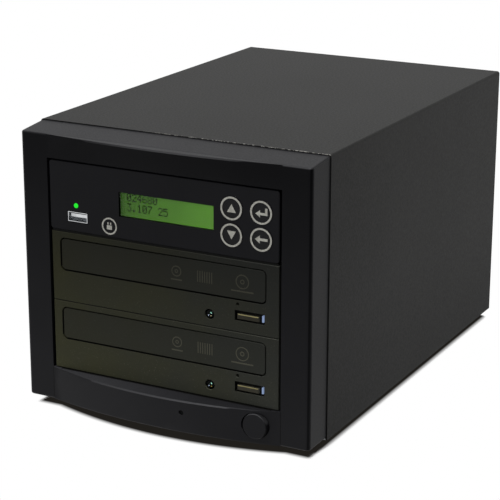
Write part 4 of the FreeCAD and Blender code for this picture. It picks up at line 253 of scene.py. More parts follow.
def begin(name, colour, roughness, **values):
    """A new finish: its material, node tree, shader and the place on the object."""
    material = bpy.data.materials.new(name)
    material.use_nodes = True
    tree = material.node_tree
    tree.nodes.clear()
    sockets = {"Base Color": srgb(colour), "Roughness": roughness}
    sockets.update({key.replace("_", " "): value for key, value in values.items()})
    shader = node(tree, "BsdfPrincipled", sockets)
    node(tree, "OutputMaterial", {"Surface": shader.outputs[0]})
    place = node(tree, "TexCoord").outputs["Object"]
    return SimpleNamespace(material=material, tree=tree, shader=shader, place=place)


def mottled(look, size, dark, light, detail=3.0, contrast=(0.35, 0.65)):
    """Let the colour wander between two shades over patches of a size."""
    tree = look.tree
    patches = node(tree, "TexNoise", {"Vector": look.place, "Scale": 1 / size, "Detail": detail})
    shades = node(tree, "ValToRGB", {"Fac": patches.outputs["Fac"]})
    shades.color_ramp.elements[0].position = contrast[0]
    shades.color_ramp.elements[1].position = contrast[1]
    shades.color_ramp.elements[0].color = srgb(dark)
    shades.color_ramp.elements[1].color = srgb(light)
    tree.links.new(shades.outputs["Color"], look.shader.inputs["Base Color"])
    return shades.outputs["Color"]


def grained(look, size, depth, roughness, detail=2.0, stretch=(1, 1, 1)):
    """Raise a fine grain and let the roughness follow it."""
    tree = look.tree
    place = node(tree, "Mapping", {"Vector": look.place, "Scale": stretch}).outputs["Vector"]
    grain = node(tree, "TexNoise", {"Vector": place, "Scale": 1 / size, "Detail": detail}).outputs["Fac"]
    rough = node(tree, "MapRange", {"Value": grain, "From Min": 0.3, "From Max": 0.7,
                                    "To Min": roughness[0], "To Max": roughness[1]})
    bump = node(tree, "Bump", {"Height": grain, "Distance": depth})
    tree.links.new(rough.outputs["Result"], look.shader.inputs["Roughness"])
    tree.links.new(bump.outputs["Normal"], look.shader.inputs["Normal"])
    return grain


def product(tree, *parts):
    """The product of values, where a part may be a value that runs from start to end between two limits."""
    total = None
    for part in parts:
        if isinstance(part, tuple):
            value, low, high, start, end = part
            part = node(tree, "MapRange", {"Value": value, "From Min": low, "From Max": high,
                                           "To Min": start, "To Max": end}).outputs["Result"]
        if total is not None:
            part = node(tree, "Math", {0: total, 1: part}, operation="MULTIPLY").outputs["Value"]
        total = part
    return total


def layered(tree, base, *coats):
    """A colour with further colours laid over it, each by its share."""
    for share, colour in coats:
        mixed = node(tree, "Mix", {"Factor": share, "A": base, "B": srgb(colour)}, data_type="RGBA")
        base = mixed.outputs["Result"]
    return base


def place_and_way(look):
    """Where a point lies on the object and which way it faces, each as three parts."""
    tree = look.tree
    place = node(tree, "SeparateXYZ", {"Vector": look.place})
    way = node(tree, "SeparateXYZ", {"Vector": node(tree, "NewGeometry").outputs["Normal"]})
    return place.outputs, way.outputs


def moulded_abs():
    """ABS from a spark-eroded mould: near-black and satin, with painted shade, painted highlights where it
    turns upwards and painted light on its ledge.
    """
    look = begin("moulded_abs", "#131316", 0.42, Specular_IOR_Level=0.12)
    tree = look.tree
    base = mottled(look, 40 * MM, "#111114", "#161619")
    # The real grain is about 0.3 mm; it is drawn at 0.8 mm so that it shows.
    grained(look, 0.8 * MM, 0.012 * MM, (0.42, 0.52))
    place, way = place_and_way(look)
    across = node(tree, "Math", {0: way["X"]}, operation="ABSOLUTE").outputs["Value"]
    # Painted shade: the front grows darker towards the top bar, and the sides and the top keep a tone of
    # their own; the shine is scaled by the same painted shade.
    shade = product(tree, (place["Z"], 20 * MM, 165 * MM, 1.12, 0.5))
    shade = product(tree, (across, 0.75, 0.95, shade, 0.7))
    shade = product(tree, (way["Z"], 0.6, 0.9, shade, 1.0))
    # Painted shade: the fillets that turn from the front to the sides are darker.
    turned = product(tree, (across, 0.38, 0.5, 0.0, 1.0), (across, 0.8, 0.95, 1.0, 0.0))
    shade = product(tree, shade, (turned, 0.0, 1.0, 1.0, 0.45))
    # Painted highlight on the edges that turn upwards, more so to the right.
    polished = product(tree, (way["Z"], 0.2, 0.45, 0.0, 1.0), (way["Z"], 0.8, 0.95, 1.0, 0.0),
                       (place["X"], -80 * MM, 40 * MM, 0.2, 1.0))
    # Painted light on the chin's ledge, more so to the left.
    dusty = product(tree, (place["Z"], 30 * MM, 32 * MM, 1.0, 0.0), (way["Z"], 0.6, 0.8, 0.0, 1.0),
                    (place["X"], -45 * MM, 30 * MM, 1.0, 0.35))
    paint = layered(tree, base, (polished, "#4c4c4e"), (dusty, "#3c3c3f"))
    paint = node(tree, "VectorMath", {0: paint, "Scale": shade}, operation="SCALE").outputs["Vector"]
    tree.links.new(paint, look.shader.inputs["Base Color"])
    tree.links.new(product(tree, shade, 0.12), look.shader.inputs["Specular IOR Level"])
    return look.material


def powder_coated_steel(front, top):
    """Textured powder coat on sheet steel: dark grey, finely pebbled, with pale specks along its front seam
    and painted shade on its sides.
    """
    look = begin("powder_coated_steel", "#222221", 0.55, Specular_IOR_Level=0.1)
    tree = look.tree
    coat = mottled(look, 90 * MM, "#1e1e1d", "#222221")
    # The real pebble is about 0.5 mm; it is drawn at 1.1 mm so that it shows.
    grained(look, 1.1 * MM, 0.06 * MM, (0.5, 0.62), detail=3.0)
    place, way = place_and_way(look)
    # Pale specks lie along the top edge of the seam, to the right.
    speck_noise = node(tree, "TexNoise", {"Vector": look.place, "Scale": 1 / (1.4 * MM), "Detail": 3.0})
    seam_specks = product(tree, (place["Y"], front + 0.3 * MM, front + 1.1 * MM, 1.0, 0.0),
                   (place["Z"], top - 0.4 * MM, top - 0.1 * MM, 0.0, 1.0),
                   (place["X"], -30 * MM, 10 * MM, 0.0, 1.0), (speck_noise.outputs["Fac"], 0.5, 0.57, 0.0, 1.0))
    # Painted shade: the sides are darker at their foot and near the seam, and the top keeps a tone of its
    # own; the shine is scaled by the same painted shade.
    upright = product(tree, (place["Z"], 8 * MM, 75 * MM, 0.72, 1.0),
                      (place["Y"], front, front + 90 * MM, 0.88, 1.0))
    shade = product(tree, (way["Z"], 0.6, 0.9, upright, 0.85))
    paint = node(tree, "VectorMath", {0: coat, "Scale": shade}, operation="SCALE").outputs["Vector"]
    paint = layered(tree, paint, (seam_specks, "#a19f99"))
    tree.links.new(paint, look.shader.inputs["Base Color"])
    tree.links.new(product(tree, shade, 0.1), look.shader.inputs["Specular IOR Level"])
    return look.material


def moulded_hips(name, olive, grey):
    """Impact polystyrene of a drive's face: matt, dusty in its grain, olive towards its left end as a
    painted warm reflection, with painted light and shade.
    """
    look = begin(name, grey, 0.6, Specular_IOR_Level=0.08)
    tree = look.tree
    place, way = place_and_way(look)
    # Painted warm reflection: olive at the left end, turning grey to the right, with random patches.
    patches = node(tree, "TexNoise", {"Vector": look.place, "Scale": 1 / (30 * MM), "Detail": 3.0})
    across = product(tree, (place["X"], -90 * MM, 70 * MM, 0.0, 1.0))
    wander = product(tree, (patches.outputs["Fac"], 0.35, 0.65, -0.15, 0.15))
    share = node(tree, "Math", {0: across, 1: wander}, operation="ADD").outputs["Value"]
    # The real grain is about 0.2 mm; it is drawn at 0.7 mm so that it shows.
    grain = grained(look, 0.7 * MM, 0.02 * MM, (0.52, 0.66), detail=4.0)
    dusty = product(tree, (grain, 0.62, 0.76, 0.0, 0.3))
    paint = layered(tree, srgb(olive), (share, grey), (dusty, "#66635a"))
    # Painted light and shade: the faces grow paler towards the bottom, so the lower drive is paler than the
    # upper one, and edges that turn upwards carry a painted highlight, palest to the right.
    turned = product(tree, (way["Z"], 0.2, 0.5, 0.0, 1.0), (place["X"], 0.0, 70 * MM, 0.0, 1.0))
    shade = product(tree, (place["Z"], 30 * MM, 110 * MM, 2.2, 0.9), (turned, 0.0, 1.0, 1.0, 2.6))
    paint = node(tree, "VectorMath", {0: paint, "Scale": shade}, operation="SCALE").outputs["Vector"]
    tree.links.new(paint, look.shader.inputs["Base Color"])
    return look.material


def smooth_panel_abs():
    """Finely polished ABS of the control panel: blue-black with faint cloudy patches."""
    look = begin("smooth_panel_abs", "#0d0d10", 0.36, Specular_IOR_Level=0.1)
    mottled(look, 22 * MM, "#0a0a0d", "#101014", detail=4.0, contrast=(0.3, 0.7))
    grained(look, 9 * MM, 0.01 * MM, (0.32, 0.42))
    return look.material


def key_lacquered_abs():
    """Keycap ABS with a soft lacquer: near-black with a tight highlight in its dish."""
    look = begin("key_lacquered_abs", "#0c0c0e", 0.28, Specular_IOR_Level=0.15)
    mottled(look, 6 * MM, "#0a0a0c", "#101013")
    grained(look, 0.6 * MM, 0.006 * MM, (0.24, 0.34))
    return look.material


def screen_ink():
    """Screen-printed ink: warm off-white, slightly uneven at its edges."""
    look = begin("screen_ink", "#c9c7bd", 0.5)
    mottled(look, 1.5 * MM, "#bdbbb1", "#d3d1c8")
    grained(look, 0.4 * MM, 0.004 * MM, (0.45, 0.55))
    return look.material


def lit_display(left, right, top):
    """Backlit field behind the liquid crystal: green, brighter to the right, shaded at its left and top."""
    look = begin("lit_display", "#0a1207", 0.5, Specular_IOR_Level=0.05, Emission_Strength=1.0)
    tree = look.tree
    place = place_and_way(look)[0]
    cells = node(tree, "TexNoise", {"Vector": look.place, "Scale": 1 / (14 * MM), "Detail": 1.0})
    level = product(tree, (place["X"], left, left + 4 * MM, 0.45, 1.0),
                    (place["X"], left, right, 0.45, 1.0), (place["Z"], top - 3 * MM, top, 1.0, 0.75),
                    (cells.outputs["Fac"], 0.3, 0.7, 0.9, 1.08))
    grained(look, 2 * MM, 0.002 * MM, (0.45, 0.55))
    lit = layered(tree, srgb("#0d1c0a"), (level, "#4f7e2c"))
    tree.links.new(lit, look.shader.inputs["Emission Color"])
    return look.material


def crystal_dots():
    """Dark cells of the liquid crystal: deep green against the lit field."""
    look = begin("crystal_dots", "#081204", 0.5, Specular_IOR_Level=0.05)
    mottled(look, 3 * MM, "#060f03", "#0a1706")
    return look.material


def clear_acrylic():
    """Clear cast acrylic over the display: coated against glare, even and nearly colourless."""
    return begin("clear_acrylic", "#f6faf4", 0.0, Transmission_Weight=1.0, IOR=1.15,
                 Specular_IOR_Level=0.1).material


def glowing_lens(name, colour, strength, body):
    """Tinted lens that glows as if lit by a chip behind it; on the pale window the glow is a painted
    highlight.
    """
    look = begin(name, body, 0.3, Specular_IOR_Level=0.1, Emission_Strength=strength)
    tree = look.tree
    rim = node(tree, "LayerWeight", {"Blend": 0.3}).outputs["Facing"]
    glow = layered(tree, srgb(colour), (rim, body))
    tree.links.new(glow, look.shader.inputs["Emission Color"])
    grained(look, 2 * MM, 0.004 * MM, (0.1, 0.2))
    return look.material


def dark_lens():
    """Smoked polycarbonate over a dark well: nearly black and polished."""
    look = begin("smoked_polycarbonate", "#060807", 0.35, Specular_IOR_Level=0.04)
    mottled(look, 1.6 * MM, "#040505", "#0b0f0e")
    grained(look, 3 * MM, 0.01 * MM, (0.05, 0.12))
    return look.material


def painted_lens_glint(name, colour):
    """A painted glint on the smoked lens: a small glowing patch that stands for a highlight."""
    look = begin(name, colour, 0.2, Specular_IOR_Level=0.3, Emission_Color=srgb(colour),
                 Emission_Strength=0.5)
    mottled(look, 1.2 * MM, colour, "#f4f6f4", contrast=(0.45, 0.9))
    grained(look, 2 * MM, 0.004 * MM, (0.15, 0.25))
    return look.material


def painted_shade_lining():
    """Matt and almost black: painted shade deep in recesses, gaps and seams, and the dark joints of the
    chin.
    """
    look = begin("painted_shade_black", "#070706", 0.7, Specular_IOR_Level=0.1)
    mottled(look, 5 * MM, "#050504", "#0a0a08")
    grained(look, 0.7 * MM, 0.01 * MM, (0.65, 0.75))
    return look.material


def moulded_rubber():
    """Moulded rubber of the feet: dull black with a dusty bloom."""
    look = begin("moulded_rubber", "#1c1c1b", 0.75)
    mottled(look, 5 * MM, "#191918", "#232322")
    grained(look, 0.5 * MM, 0.02 * MM, (0.68, 0.82))
    return look.material


def galvanised_steel():
    """Zinc-coated sheet: pale grey with large soft spangles and a rolled direction."""
    look = begin("galvanised_steel", "#9c9fa1", 0.35, Metallic=1.0)
    tree = look.tree
    spangle = node(tree, "TexVoronoi", {"Vector": look.place, "Scale": 1 / (7 * MM)})
    shades = node(tree, "ValToRGB", {"Fac": spangle.outputs["Color"]})
    shades.color_ramp.elements[0].color = srgb("#979a9c")
    shades.color_ramp.elements[1].color = srgb("#a9acae")
    tree.links.new(shades.outputs["Color"], look.shader.inputs["Base Color"])
    grained(look, 2.5 * MM, 0.006 * MM, (0.28, 0.42), stretch=(1, 1, 0.25))
    return look.material


def plated_screw_steel():
    """Nickel-plated machine steel: warm grey, turned marks too fine to see."""
    look = begin("plated_screw_steel", "#8f8d88", 0.3, Metallic=1.0)
    mottled(look, 2 * MM, "#85837e", "#9b9994")
    grained(look, 0.5 * MM, 0.006 * MM, (0.24, 0.36))
    return look.material


def nickel_wire():
    """Bright nickel-plated wire."""
    look = begin("nickel_wire", "#c3c5c7", 0.16, Metallic=1.0)
    mottled(look, 4 * MM, "#b9bbbd", "#cfd1d3")
    grained(look, 1.5 * MM, 0.004 * MM, (0.12, 0.22))
    return look.material


def moulded_pbt(name, dark, light, rough=(0.42, 0.55)):
    """Glass-filled PBT: plain and even, with faint flow marks."""
    look = begin(name, dark, rough[0])
    mottled(look, 12 * MM, dark, light, detail=5.0)
    grained(look, 0.8 * MM, 0.01 * MM, rough)
    return look.material


def board_laminate():
    """Solder-masked glass laminate: green with a faint grid of traces and a gloss."""
    look = begin("board_laminate", "#1d5a35", 0.3, Coat_Weight=0.3)
    tree = look.tree
    lines = node(tree, "TexBrick", {
        "Vector": look.place, "Scale": 1 / (6 * MM), "Mortar Size": 0.03,
        "Color1": srgb("#1b5531"), "Color2": srgb("#1f613a"), "Mortar": srgb("#2f7a4a"),
    })
    tree.links.new(lines.outputs["Color"], look.shader.inputs["Base Color"])
    grained(look, 1.2 * MM, 0.01 * MM, (0.26, 0.36))
    return look.material


def cable_pvc():
    """Soft PVC sheath of the inner leads: dull red with a slight shine."""
    look = begin("cable_pvc", "#8a1d16", 0.42)
    mottled(look, 8 * MM, "#7d1a14", "#96221a")
    grained(look, 1 * MM, 0.01 * MM, (0.38, 0.48))
    return look.material


# Stage and light

def seen_share(tree):
    """How much of the white background a ray meets: all for sight, mirrors and glass."""
    rays = node(tree, "LightPath").outputs
    share = rays["Is Camera Ray"]
    for kind in ("Is Glossy Ray", "Is Transmission Ray"):
        share = node(tree, "Math", {0: share, 1: rays[kind]}, operation="MAXIMUM").outputs["Value"]
    return share


def open_floor(look):
    """How much of the floor's painted shadow is filled: all but a dark band close under the machine."""
    tree = look.tree
    chin_front = -150.5 * MM
    chin_bow = 12.5 * MM
    near = node(tree, "AmbientOcclusion", {"Distance": 11 * MM}, samples=32)
    place = place_and_way(look)[0]
    aside = node(tree, "Math", {0: place["X"]}, operation="ABSOLUTE").outputs["Value"]
    run = product(tree, (aside, 0.0, CHIN_HALF, 0.0, 1.0))
    bow = product(tree, run, run, -chin_bow)
    depth = node(tree, "Math", {0: place["Y"], 1: bow}, operation="ADD").outputs["Value"]
    # The painted shadow is cut back a little way in under the bowed chin and the sides.
    ahead = product(tree, (depth, chin_front + 4 * MM, chin_front + 8 * MM, 1.0, 0.0))
    beside = product(tree, (aside, 90.5 * MM, 94.5 * MM, 0.0, 1.0))
    share = product(tree, (near.outputs["AO"], 0.5, 0.6, 0.0, 1.0))
    for lit in (ahead, beside):
        share = node(tree, "Math", {0: share, 1: lit}, operation="MAXIMUM").outputs["Value"]
    return share


def make_floor():
    """A pale floor, white to the eye, with a painted shadow at the machine's foot."""
    bpy.ops.mesh.primitive_plane_add(size=6, location=(0, 0, 0))
    floor = settled("floor")
    look = begin("matt_floor", "#9a9a98", 0.9, Specular_IOR_Level=0.1)
    tree = look.tree
    tone = layered(tree, srgb("#211f1c"), (open_floor(look), "#ffffff"))
    shown = node(tree, "Emission", {"Color": tone})
    finish = node(tree, "MixShader", {0: seen_share(tree), 1: look.shader.outputs[0], 2: shown.outputs[0]})
    tree.links.new(finish.outputs[0], next(n for n in tree.nodes if n.type == "OUTPUT_MATERIAL").inputs[0])
    floor.data.materials.append(look.material)


def make_surroundings():
    """Pale surroundings, white to the eye, and two soft lamps."""
    world = bpy.data.worlds.new("surroundings")
    world.use_nodes = True
    bpy.context.scene.world = world
    tree = world.node_tree
    tree.nodes.clear()
    plain = node(tree, "Background", {"Color": srgb("#eceef0"), "Strength": 0.3})
    white = node(tree, "Background", {"Color": srgb("#ffffff"), "Strength": 1.0})
    both = node(tree, "MixShader", {0: seen_share(tree), 1: plain.outputs[0], 2: white.outputs[0]})
    node(tree, "OutputWorld", {"Surface": both.outputs[0]})
    lamp("overhead", place=(0.05, -0.35, 1.4), aim=(0, -0.05, 0.1), size=1.2, power=16)
    lamp("left_front", place=(-1.1, -1.0, 0.8), aim=(0, -0.1, 0.08), size=0.7, power=1)


def lamp(name, place, aim, size, power):
    """A square soft lamp that faces a point."""
    made = bpy.data.objects.new(name, bpy.data.lights.new(name, "AREA"))
    bpy.context.collection.objects.link(made)
    made.data.size = size
    made.data.energy = power
    made.location = place
    made.rotation_euler = (Vector(place) - Vector(aim)).to_track_quat("Z", "Y").to_euler()


# Control panel

GLYPHS = {
    "0": "01110 10001 10011 10101 11001 10001 01110", "1": "00100 01100 00100 00100 00100 00100 01110",
    "2": "01110 10001 00001 00010 00100 01000 11111", "3": "11111 00010 00100 00010 00001 10001 01110",
    "4": "00010 00110 01010 10010 11111 00010 00010", "5": "11111 10000 11110 00001 00001 10001 01110",
    "6": "00110 01000 10000 11110 10001 10001 01110", "7": "11111 00001 00010 00100 01000 01000 01000",
    "8": "01110 10001 10001 01110 10001 10001 01110", ".": "00000 00000 00000 00000 00000 01100 01100",
}
DISPLAY_ROWS = ("024680", "3.107 25")
DOT = 0.68 * MM
DOT_RISE = 0.03 * MM
DOT_PITCH_X = 0.57 * MM
DOT_PITCH_Z = 0.68 * MM
GLYPH_PITCH = 3.4 * MM
ROW_PITCH = 5.9 * MM
FIRST_COLUMN = 4.6 * MM
FIRST_ROW = 0.7 * MM
INK = 0.03 * MM


def make_display(looks):
    """The lit field behind the window and two rows of plain digits on it."""
    low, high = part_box("display_window")
    rebate = 1.5 * MM
    left = low.x + rebate
    right = high.x - rebate
    bottom = low.z + rebate
    top = high.z - rebate
    carried(smooth_copy("display_window"), "case", "display_glass", looks.acrylic)
    behind = high.y + 0.5 * MM
    thick = 0.4 * MM
    field = block("display_field", (left, behind, bottom), (right, behind + thick, top))
    rounded(field, 0.1 * MM)
    carried(field, "case", "display_frame", lit_display(left, right, top))
    bpy.ops.mesh.primitive_plane_add(size=DOT, location=(0, behind - DOT_RISE, 0), rotation=FACING_FRONT)
    dot = settled("crystal_dot")
    dots = []
    for row, digits in enumerate(DISPLAY_ROWS):
        for column, digit in enumerate(digits):
            if digit not in GLYPHS:
                continue
            x = left + FIRST_COLUMN + column * GLYPH_PITCH
            z = top - FIRST_ROW - row * ROW_PITCH
            for line, cells in enumerate(GLYPHS[digit].split()):
                for step, cell in enumerate(cells):
                    if cell == "1":
                        place = (x + step * DOT_PITCH_X, 0, z - line * DOT_PITCH_Z)
                        dots.append(copied(dot, f"dot_{len(dots)}"))
                        dots[-1].data.transform(Matrix.Translation(place))
    bpy.data.objects.remove(dot)
    carried(joined("display_digits", dots), "case", "display_frame", looks.crystal)


def arrow_points(x, z):
    """Outline of a plain arrow to the left about a point."""
    reach = 3.9 * MM
    head = 2.3 * MM
    neck = -0.9 * MM
    stem = 0.75 * MM
    return [(x - reach, z), (x + neck, z - head), (x + neck, z - stem), (x + reach, z - stem),
            (x + reach, z + stem), (x + neck, z + stem), (x + neck, z + head)]


def return_points(x, z):
    """Outline of a bent arrow about a point: down from the upper right, then to the left."""
    reach = 3.7 * MM
    head = 2.1 * MM
    neck = -0.8 * MM
    stem = 0.7 * MM
    line = z - 0.8 * MM
    top = z + 2.6 * MM
    return [(x - reach, line), (x + neck, line - head), (x + neck, line - stem), (x + reach, line - stem),
            (x + reach, top), (x + reach - 2 * stem, top), (x + reach - 2 * stem, line + stem),
            (x + neck, line + stem), (x + neck, line + head)]


def triangle_points(x, z, way):
    """Outline of a filled triangle about a point, pointing up or down."""
    half = 2.75 * MM
    tall = 2.4 * MM
    return [(x - half, z - way * tall), (x + half, z - way * tall), (x, z + way * tall)]


def make_keys(looks):
    """Four dished keys, each with a printed rim and a plain symbol."""
    rim = 6.68 * MM
    inner_rim = 5.6 * MM
    dish = 0.35 * MM
    for name in ("up", "down", "enter", "back"):
        low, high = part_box(f"{name}_key")
        x = (low.x + high.x) / 2
        z = (low.z + high.z) / 2
        carried(smooth_copy(f"{name}_key", 30), name, "key_plastic", looks.key)
        ring = flat_ring(f"{name}_key_rim", x, z, low.y - INK, rim, inner_rim, 2 * INK)
        carried(ring, name, "key_plastic", looks.ink)
        points = {
            "up": triangle_points(x, z, 1), "down": triangle_points(x, z, -1),
            "enter": return_points(x, z), "back": arrow_points(x, z),
        }
        mark = flat_shape(f"{name}_key_mark", points[name], low.y + dish - INK, 2 * INK)
        carried(mark, name, "key_plastic", looks.ink)


def box_points(x, z, left, right, foot, top):
    """Outline of an upright box, its sides given in millimetres about a point."""
    corners = ((left, foot), (right, foot), (right, top), (left, top))
    return [(x + a * MM, z + b * MM) for a, b in corners]


def make_printed_ring(looks):
    """Printed ring left of the display, with a plain connector sign."""
    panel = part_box("control_panel")[0]
    x = -34.5 * MM
    z = panel.z + 6.6 * MM
    front = panel.y - 0.02 * MM
    ink = 0.04 * MM
    boxes = {
        "plug": (-1.7, 1.7, -2.0, 0.5),
        "prong_0": (-1.3, -0.5, 0.9, 2.2),
        "prong_1": (0.5, 1.3, 0.9, 2.2),
    }
    prints = [flat_ring("port_print_ring", x, z, front, 5.0 * MM, 4.1 * MM, ink)]
    prints += [flat_shape(f"port_print_{name}", box_points(x, z, *sides), front, ink)
               for name, sides in boxes.items()]
    carried(joined("port_print", prints), "case", "panel_plastic", looks.ink)


# Lamps on the front

def make_lamps(looks):
    """The lit green indicator and the dark lamp in the chin."""
    lamps = smooth_copy("status_lamps")
    low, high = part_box("status_lamps")
    carried(lamps, "case", "lamp_green", looks.green, looks.lens)
    shared_out(lamps, lambda place: place.z < (low.z + high.z) / 2)


def make_lenses(looks):
    """Smoked lamp lens with three painted glints, and the pale window beside the eject button, its glow a
    painted highlight.
    """
    radius = 3 * MM
    rise = 0.03 * MM
    glints = {
        "mint": ((0.3, 1.0), (0.8, 1.4), (1.4, 0.6), (1.0, 0.3)),
        "white": ((-1.1, -0.9), (-0.8, -1.2), (-0.3, -0.5), (-0.6, -0.3)),
        "gold": ((0.4, -0.8), (0.6, -1.3), (1.2, -1.0), (0.9, -0.6)),
    }
    for side in SIDES:
        low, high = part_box(f"{side}_drive_lenses")
        lenses = smooth_copy(f"{side}_drive_lenses")
        carried(lenses, "case", "lens_clear", looks.lens, looks.window)
        shared_out(lenses, lambda place: place.x > (low.x + high.x) / 2)
        for tint, corners in glints.items():
            points = [(low.x + radius + a * MM, low.z + radius + b * MM) for a, b in corners]
            made = flat_shape(f"{side}_lens_{tint}_glint", points, low.y - rise, 2 * rise)
            carried(made, "case", "lens_clear", looks.glints[tint])


# Recesses, gaps and marks of the drives' faces

def four_walls(name, left, right, foot, top, front, back):
    """Thin walls round an opening that faces the front."""
    return [
        block(f"{name}_left", (left, front, foot), (left + SKIN, back, top)),
        block(f"{name}_right", (right - SKIN, front, foot), (right, back, top)),
        block(f"{name}_foot", (left, front, foot), (right, back, foot + SKIN)),
        block(f"{name}_top", (left, front, top - SKIN), (right, back, top)),
    ]


def make_recesses(looks):
    """Dark lining of each eject recess as painted shade, its floor open round the button with a little
    room.
    """
    from_left = 120.5 * MM
    from_foot = 6.5 * MM
    wide = 18.7 * MM
    tall = 6.1 * MM
    deep = 2.4 * MM
    room = 0.3 * MM
    button_left = 1.3 * MM
    button_right = 15.1 * MM
    button_foot = 0.8 * MM
    button_top = 4.0 * MM
    for side in SIDES:
        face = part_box(f"{side}_faceplate")[0]
        name = f"{side}_recess"
        front = face.y + LINING_START
        back = face.y + deep
        floor = back - SKIN
        left = face.x + from_left
        right = left + wide
        foot = face.z + from_foot
        top = foot + tall
        hole_left = left + button_left - room
        hole_right = left + button_right + room
        hole_foot = foot + button_foot - room
        hole_top = foot + button_top + room
        walls = four_walls(name, left, right, foot, top, front, back)
        walls += [
            block(f"{name}_end", (left, floor, foot), (hole_left, back, top)),
            block(f"{name}_far", (hole_right, floor, foot), (right, back, top)),
            block(f"{name}_over", (hole_left, floor, hole_top), (hole_right, back, top)),
            block(f"{name}_under", (hole_left, floor, foot), (hole_right, back, hole_foot)),
        ]
        carried(joined(f"{name}_lining", walls), "case", "faceplate_plastic", looks.recess)


def make_button_edges(looks):
    """Painted highlight along the top edge of each eject button."""
    half = 6.4 * MM
    rise = 0.03 * MM
    sunk = 0.3 * MM
    band_foot = 0.62 * MM
    band_top = 0.12 * MM
    for side in SIDES:
        low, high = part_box(f"{side}_eject_button")
        middle = (low.x + high.x) / 2
        edge = block(f"{side}_button_edge", (middle - half, low.y - rise, high.z - band_foot),
                     (middle + half, low.y + sunk, high.z - band_top))
        carried(edge, f"{side}_eject", "faceplate_plastic", looks.edge)


def make_door_gaps(looks):
    """Dark lining of each tray opening, a painted shade that makes the gap round the door look deep."""
    gap = 0.8 * MM
    deep = 4.9 * MM
    for side in SIDES:
        low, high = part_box(f"{side}_tray_door")
        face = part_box(f"{side}_faceplate")[0]
        walls = four_walls(f"{side}_gap", low.x - gap, high.x + gap, low.z - gap, high.z + gap,
                           face.y + LINING_START, face.y + deep)
        carried(joined(f"{side}_gap_lining", walls), "case", "faceplate_plastic", looks.recess)


def make_seams(looks):
    """Dark linings of the narrow seams over the chin, between the drives and under the panel, all painted
    shade, with a painted shadow on the ledge under the lower drive.
    """
    faces = [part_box(name) for name in ("lower_faceplate", "upper_faceplate", "control_panel")]
    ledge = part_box("front_bezel")[0].z + CHIN_LEDGE
    feet = [ledge, faces[0][1].z, faces[1][1].z]
    half = 73.5 * MM
    film = 0.1 * MM
    shade_half = 70 * MM
    shade_deep = 1.5 * MM
    shade_film = 0.03 * MM
    front = faces[0][0].y + 0.45 * MM
    films = [block(f"seam_{n}", (-half, front, foot), (half, front + film, face[0].z))
             for n, (foot, face) in enumerate(zip(feet, faces))]
    films.append(block("seam_shade", (-shade_half, front - shade_deep, ledge),
                       (shade_half, front, ledge + shade_film)))
    carried(joined("seam_linings", films), "case", "faceplate_plastic", looks.recess)


def disc_sign(name, x, middle, front, ring, hub, half, foot, sides):
    """A low ring round a hub over a bar, its radii and its bar given in millimetres about a point."""
    z = middle + 1 * MM
    foot = middle + foot * MM
    top = foot + 0.8 * MM
    return [
        flat_ring(f"{name}_ring", x, z, front, ring[0] * MM, ring[1] * MM, MARK_FILM, sides),
        flat_ring(f"{name}_hub", x, z, front, hub[0] * MM, hub[1] * MM, MARK_FILM, 24),
        block(f"{name}_bar", (x - half * MM, front, foot), (x + half * MM, front + MARK_FILM, top)),
    ]


def make_door_marks(looks):
    """Plain low marks on each door: a disc sign, a row of upright bars and a larger disc sign."""
    rise = 0.05 * MM
    bar_wide = 0.6 * MM
    bar_pitch = 1.5 * MM
    for side in SIDES:
        low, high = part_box(f"{side}_tray_door")
        name = f"{side}_door"
        front = low.y - rise
        middle = (low.z + high.z) / 2
        marks = disc_sign(f"{name}_small", low.x + 77 * MM, middle, front, ring=(3.2, 2.6),
                          hub=(1.1, 0.6), half=3.6, foot=-4.4, sides=40)
        for bar in range(7):
            left = low.x + 90.4 * MM + bar * bar_pitch
            marks.append(block(f"{name}_line_{bar}", (left, front, middle - 3.2 * MM),
                               (left + bar_wide, front + MARK_FILM, middle + 3.4 * MM)))
        marks += disc_sign(f"{name}_large", low.x + 119 * MM, middle, front, ring=(4.2, 3.6),
                           hub=(1.4, 0.8), half=7.0, foot=-5.0, sides=48)
        carried(joined(f"{name}_marks", marks), f"{side}_tray_unit", "faceplate_plastic", looks.mark)


def make_chin_joints(looks):
    """Thin dark joints where the bowed chin meets the pillars."""
    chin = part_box("front_bezel")[0].z
    half = 0.14 * MM
    rise = 0.06 * MM
    sunk = 0.05 * MM
    foot = chin + 1.4 * MM
    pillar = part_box("upper_faceplate")[0].y - 0.5 * MM
    lines = [block(f"chin_joint_{n}", (x - half, pillar - rise, foot),
                   (x + half, pillar + sunk, chin + CHIN_LEDGE))
             for n, x in enumerate((-CHIN_HALF, CHIN_HALF))]
    carried(joined("chin_joints", lines), "case", "bezel_plastic", looks.recess)


# The rest of the machine

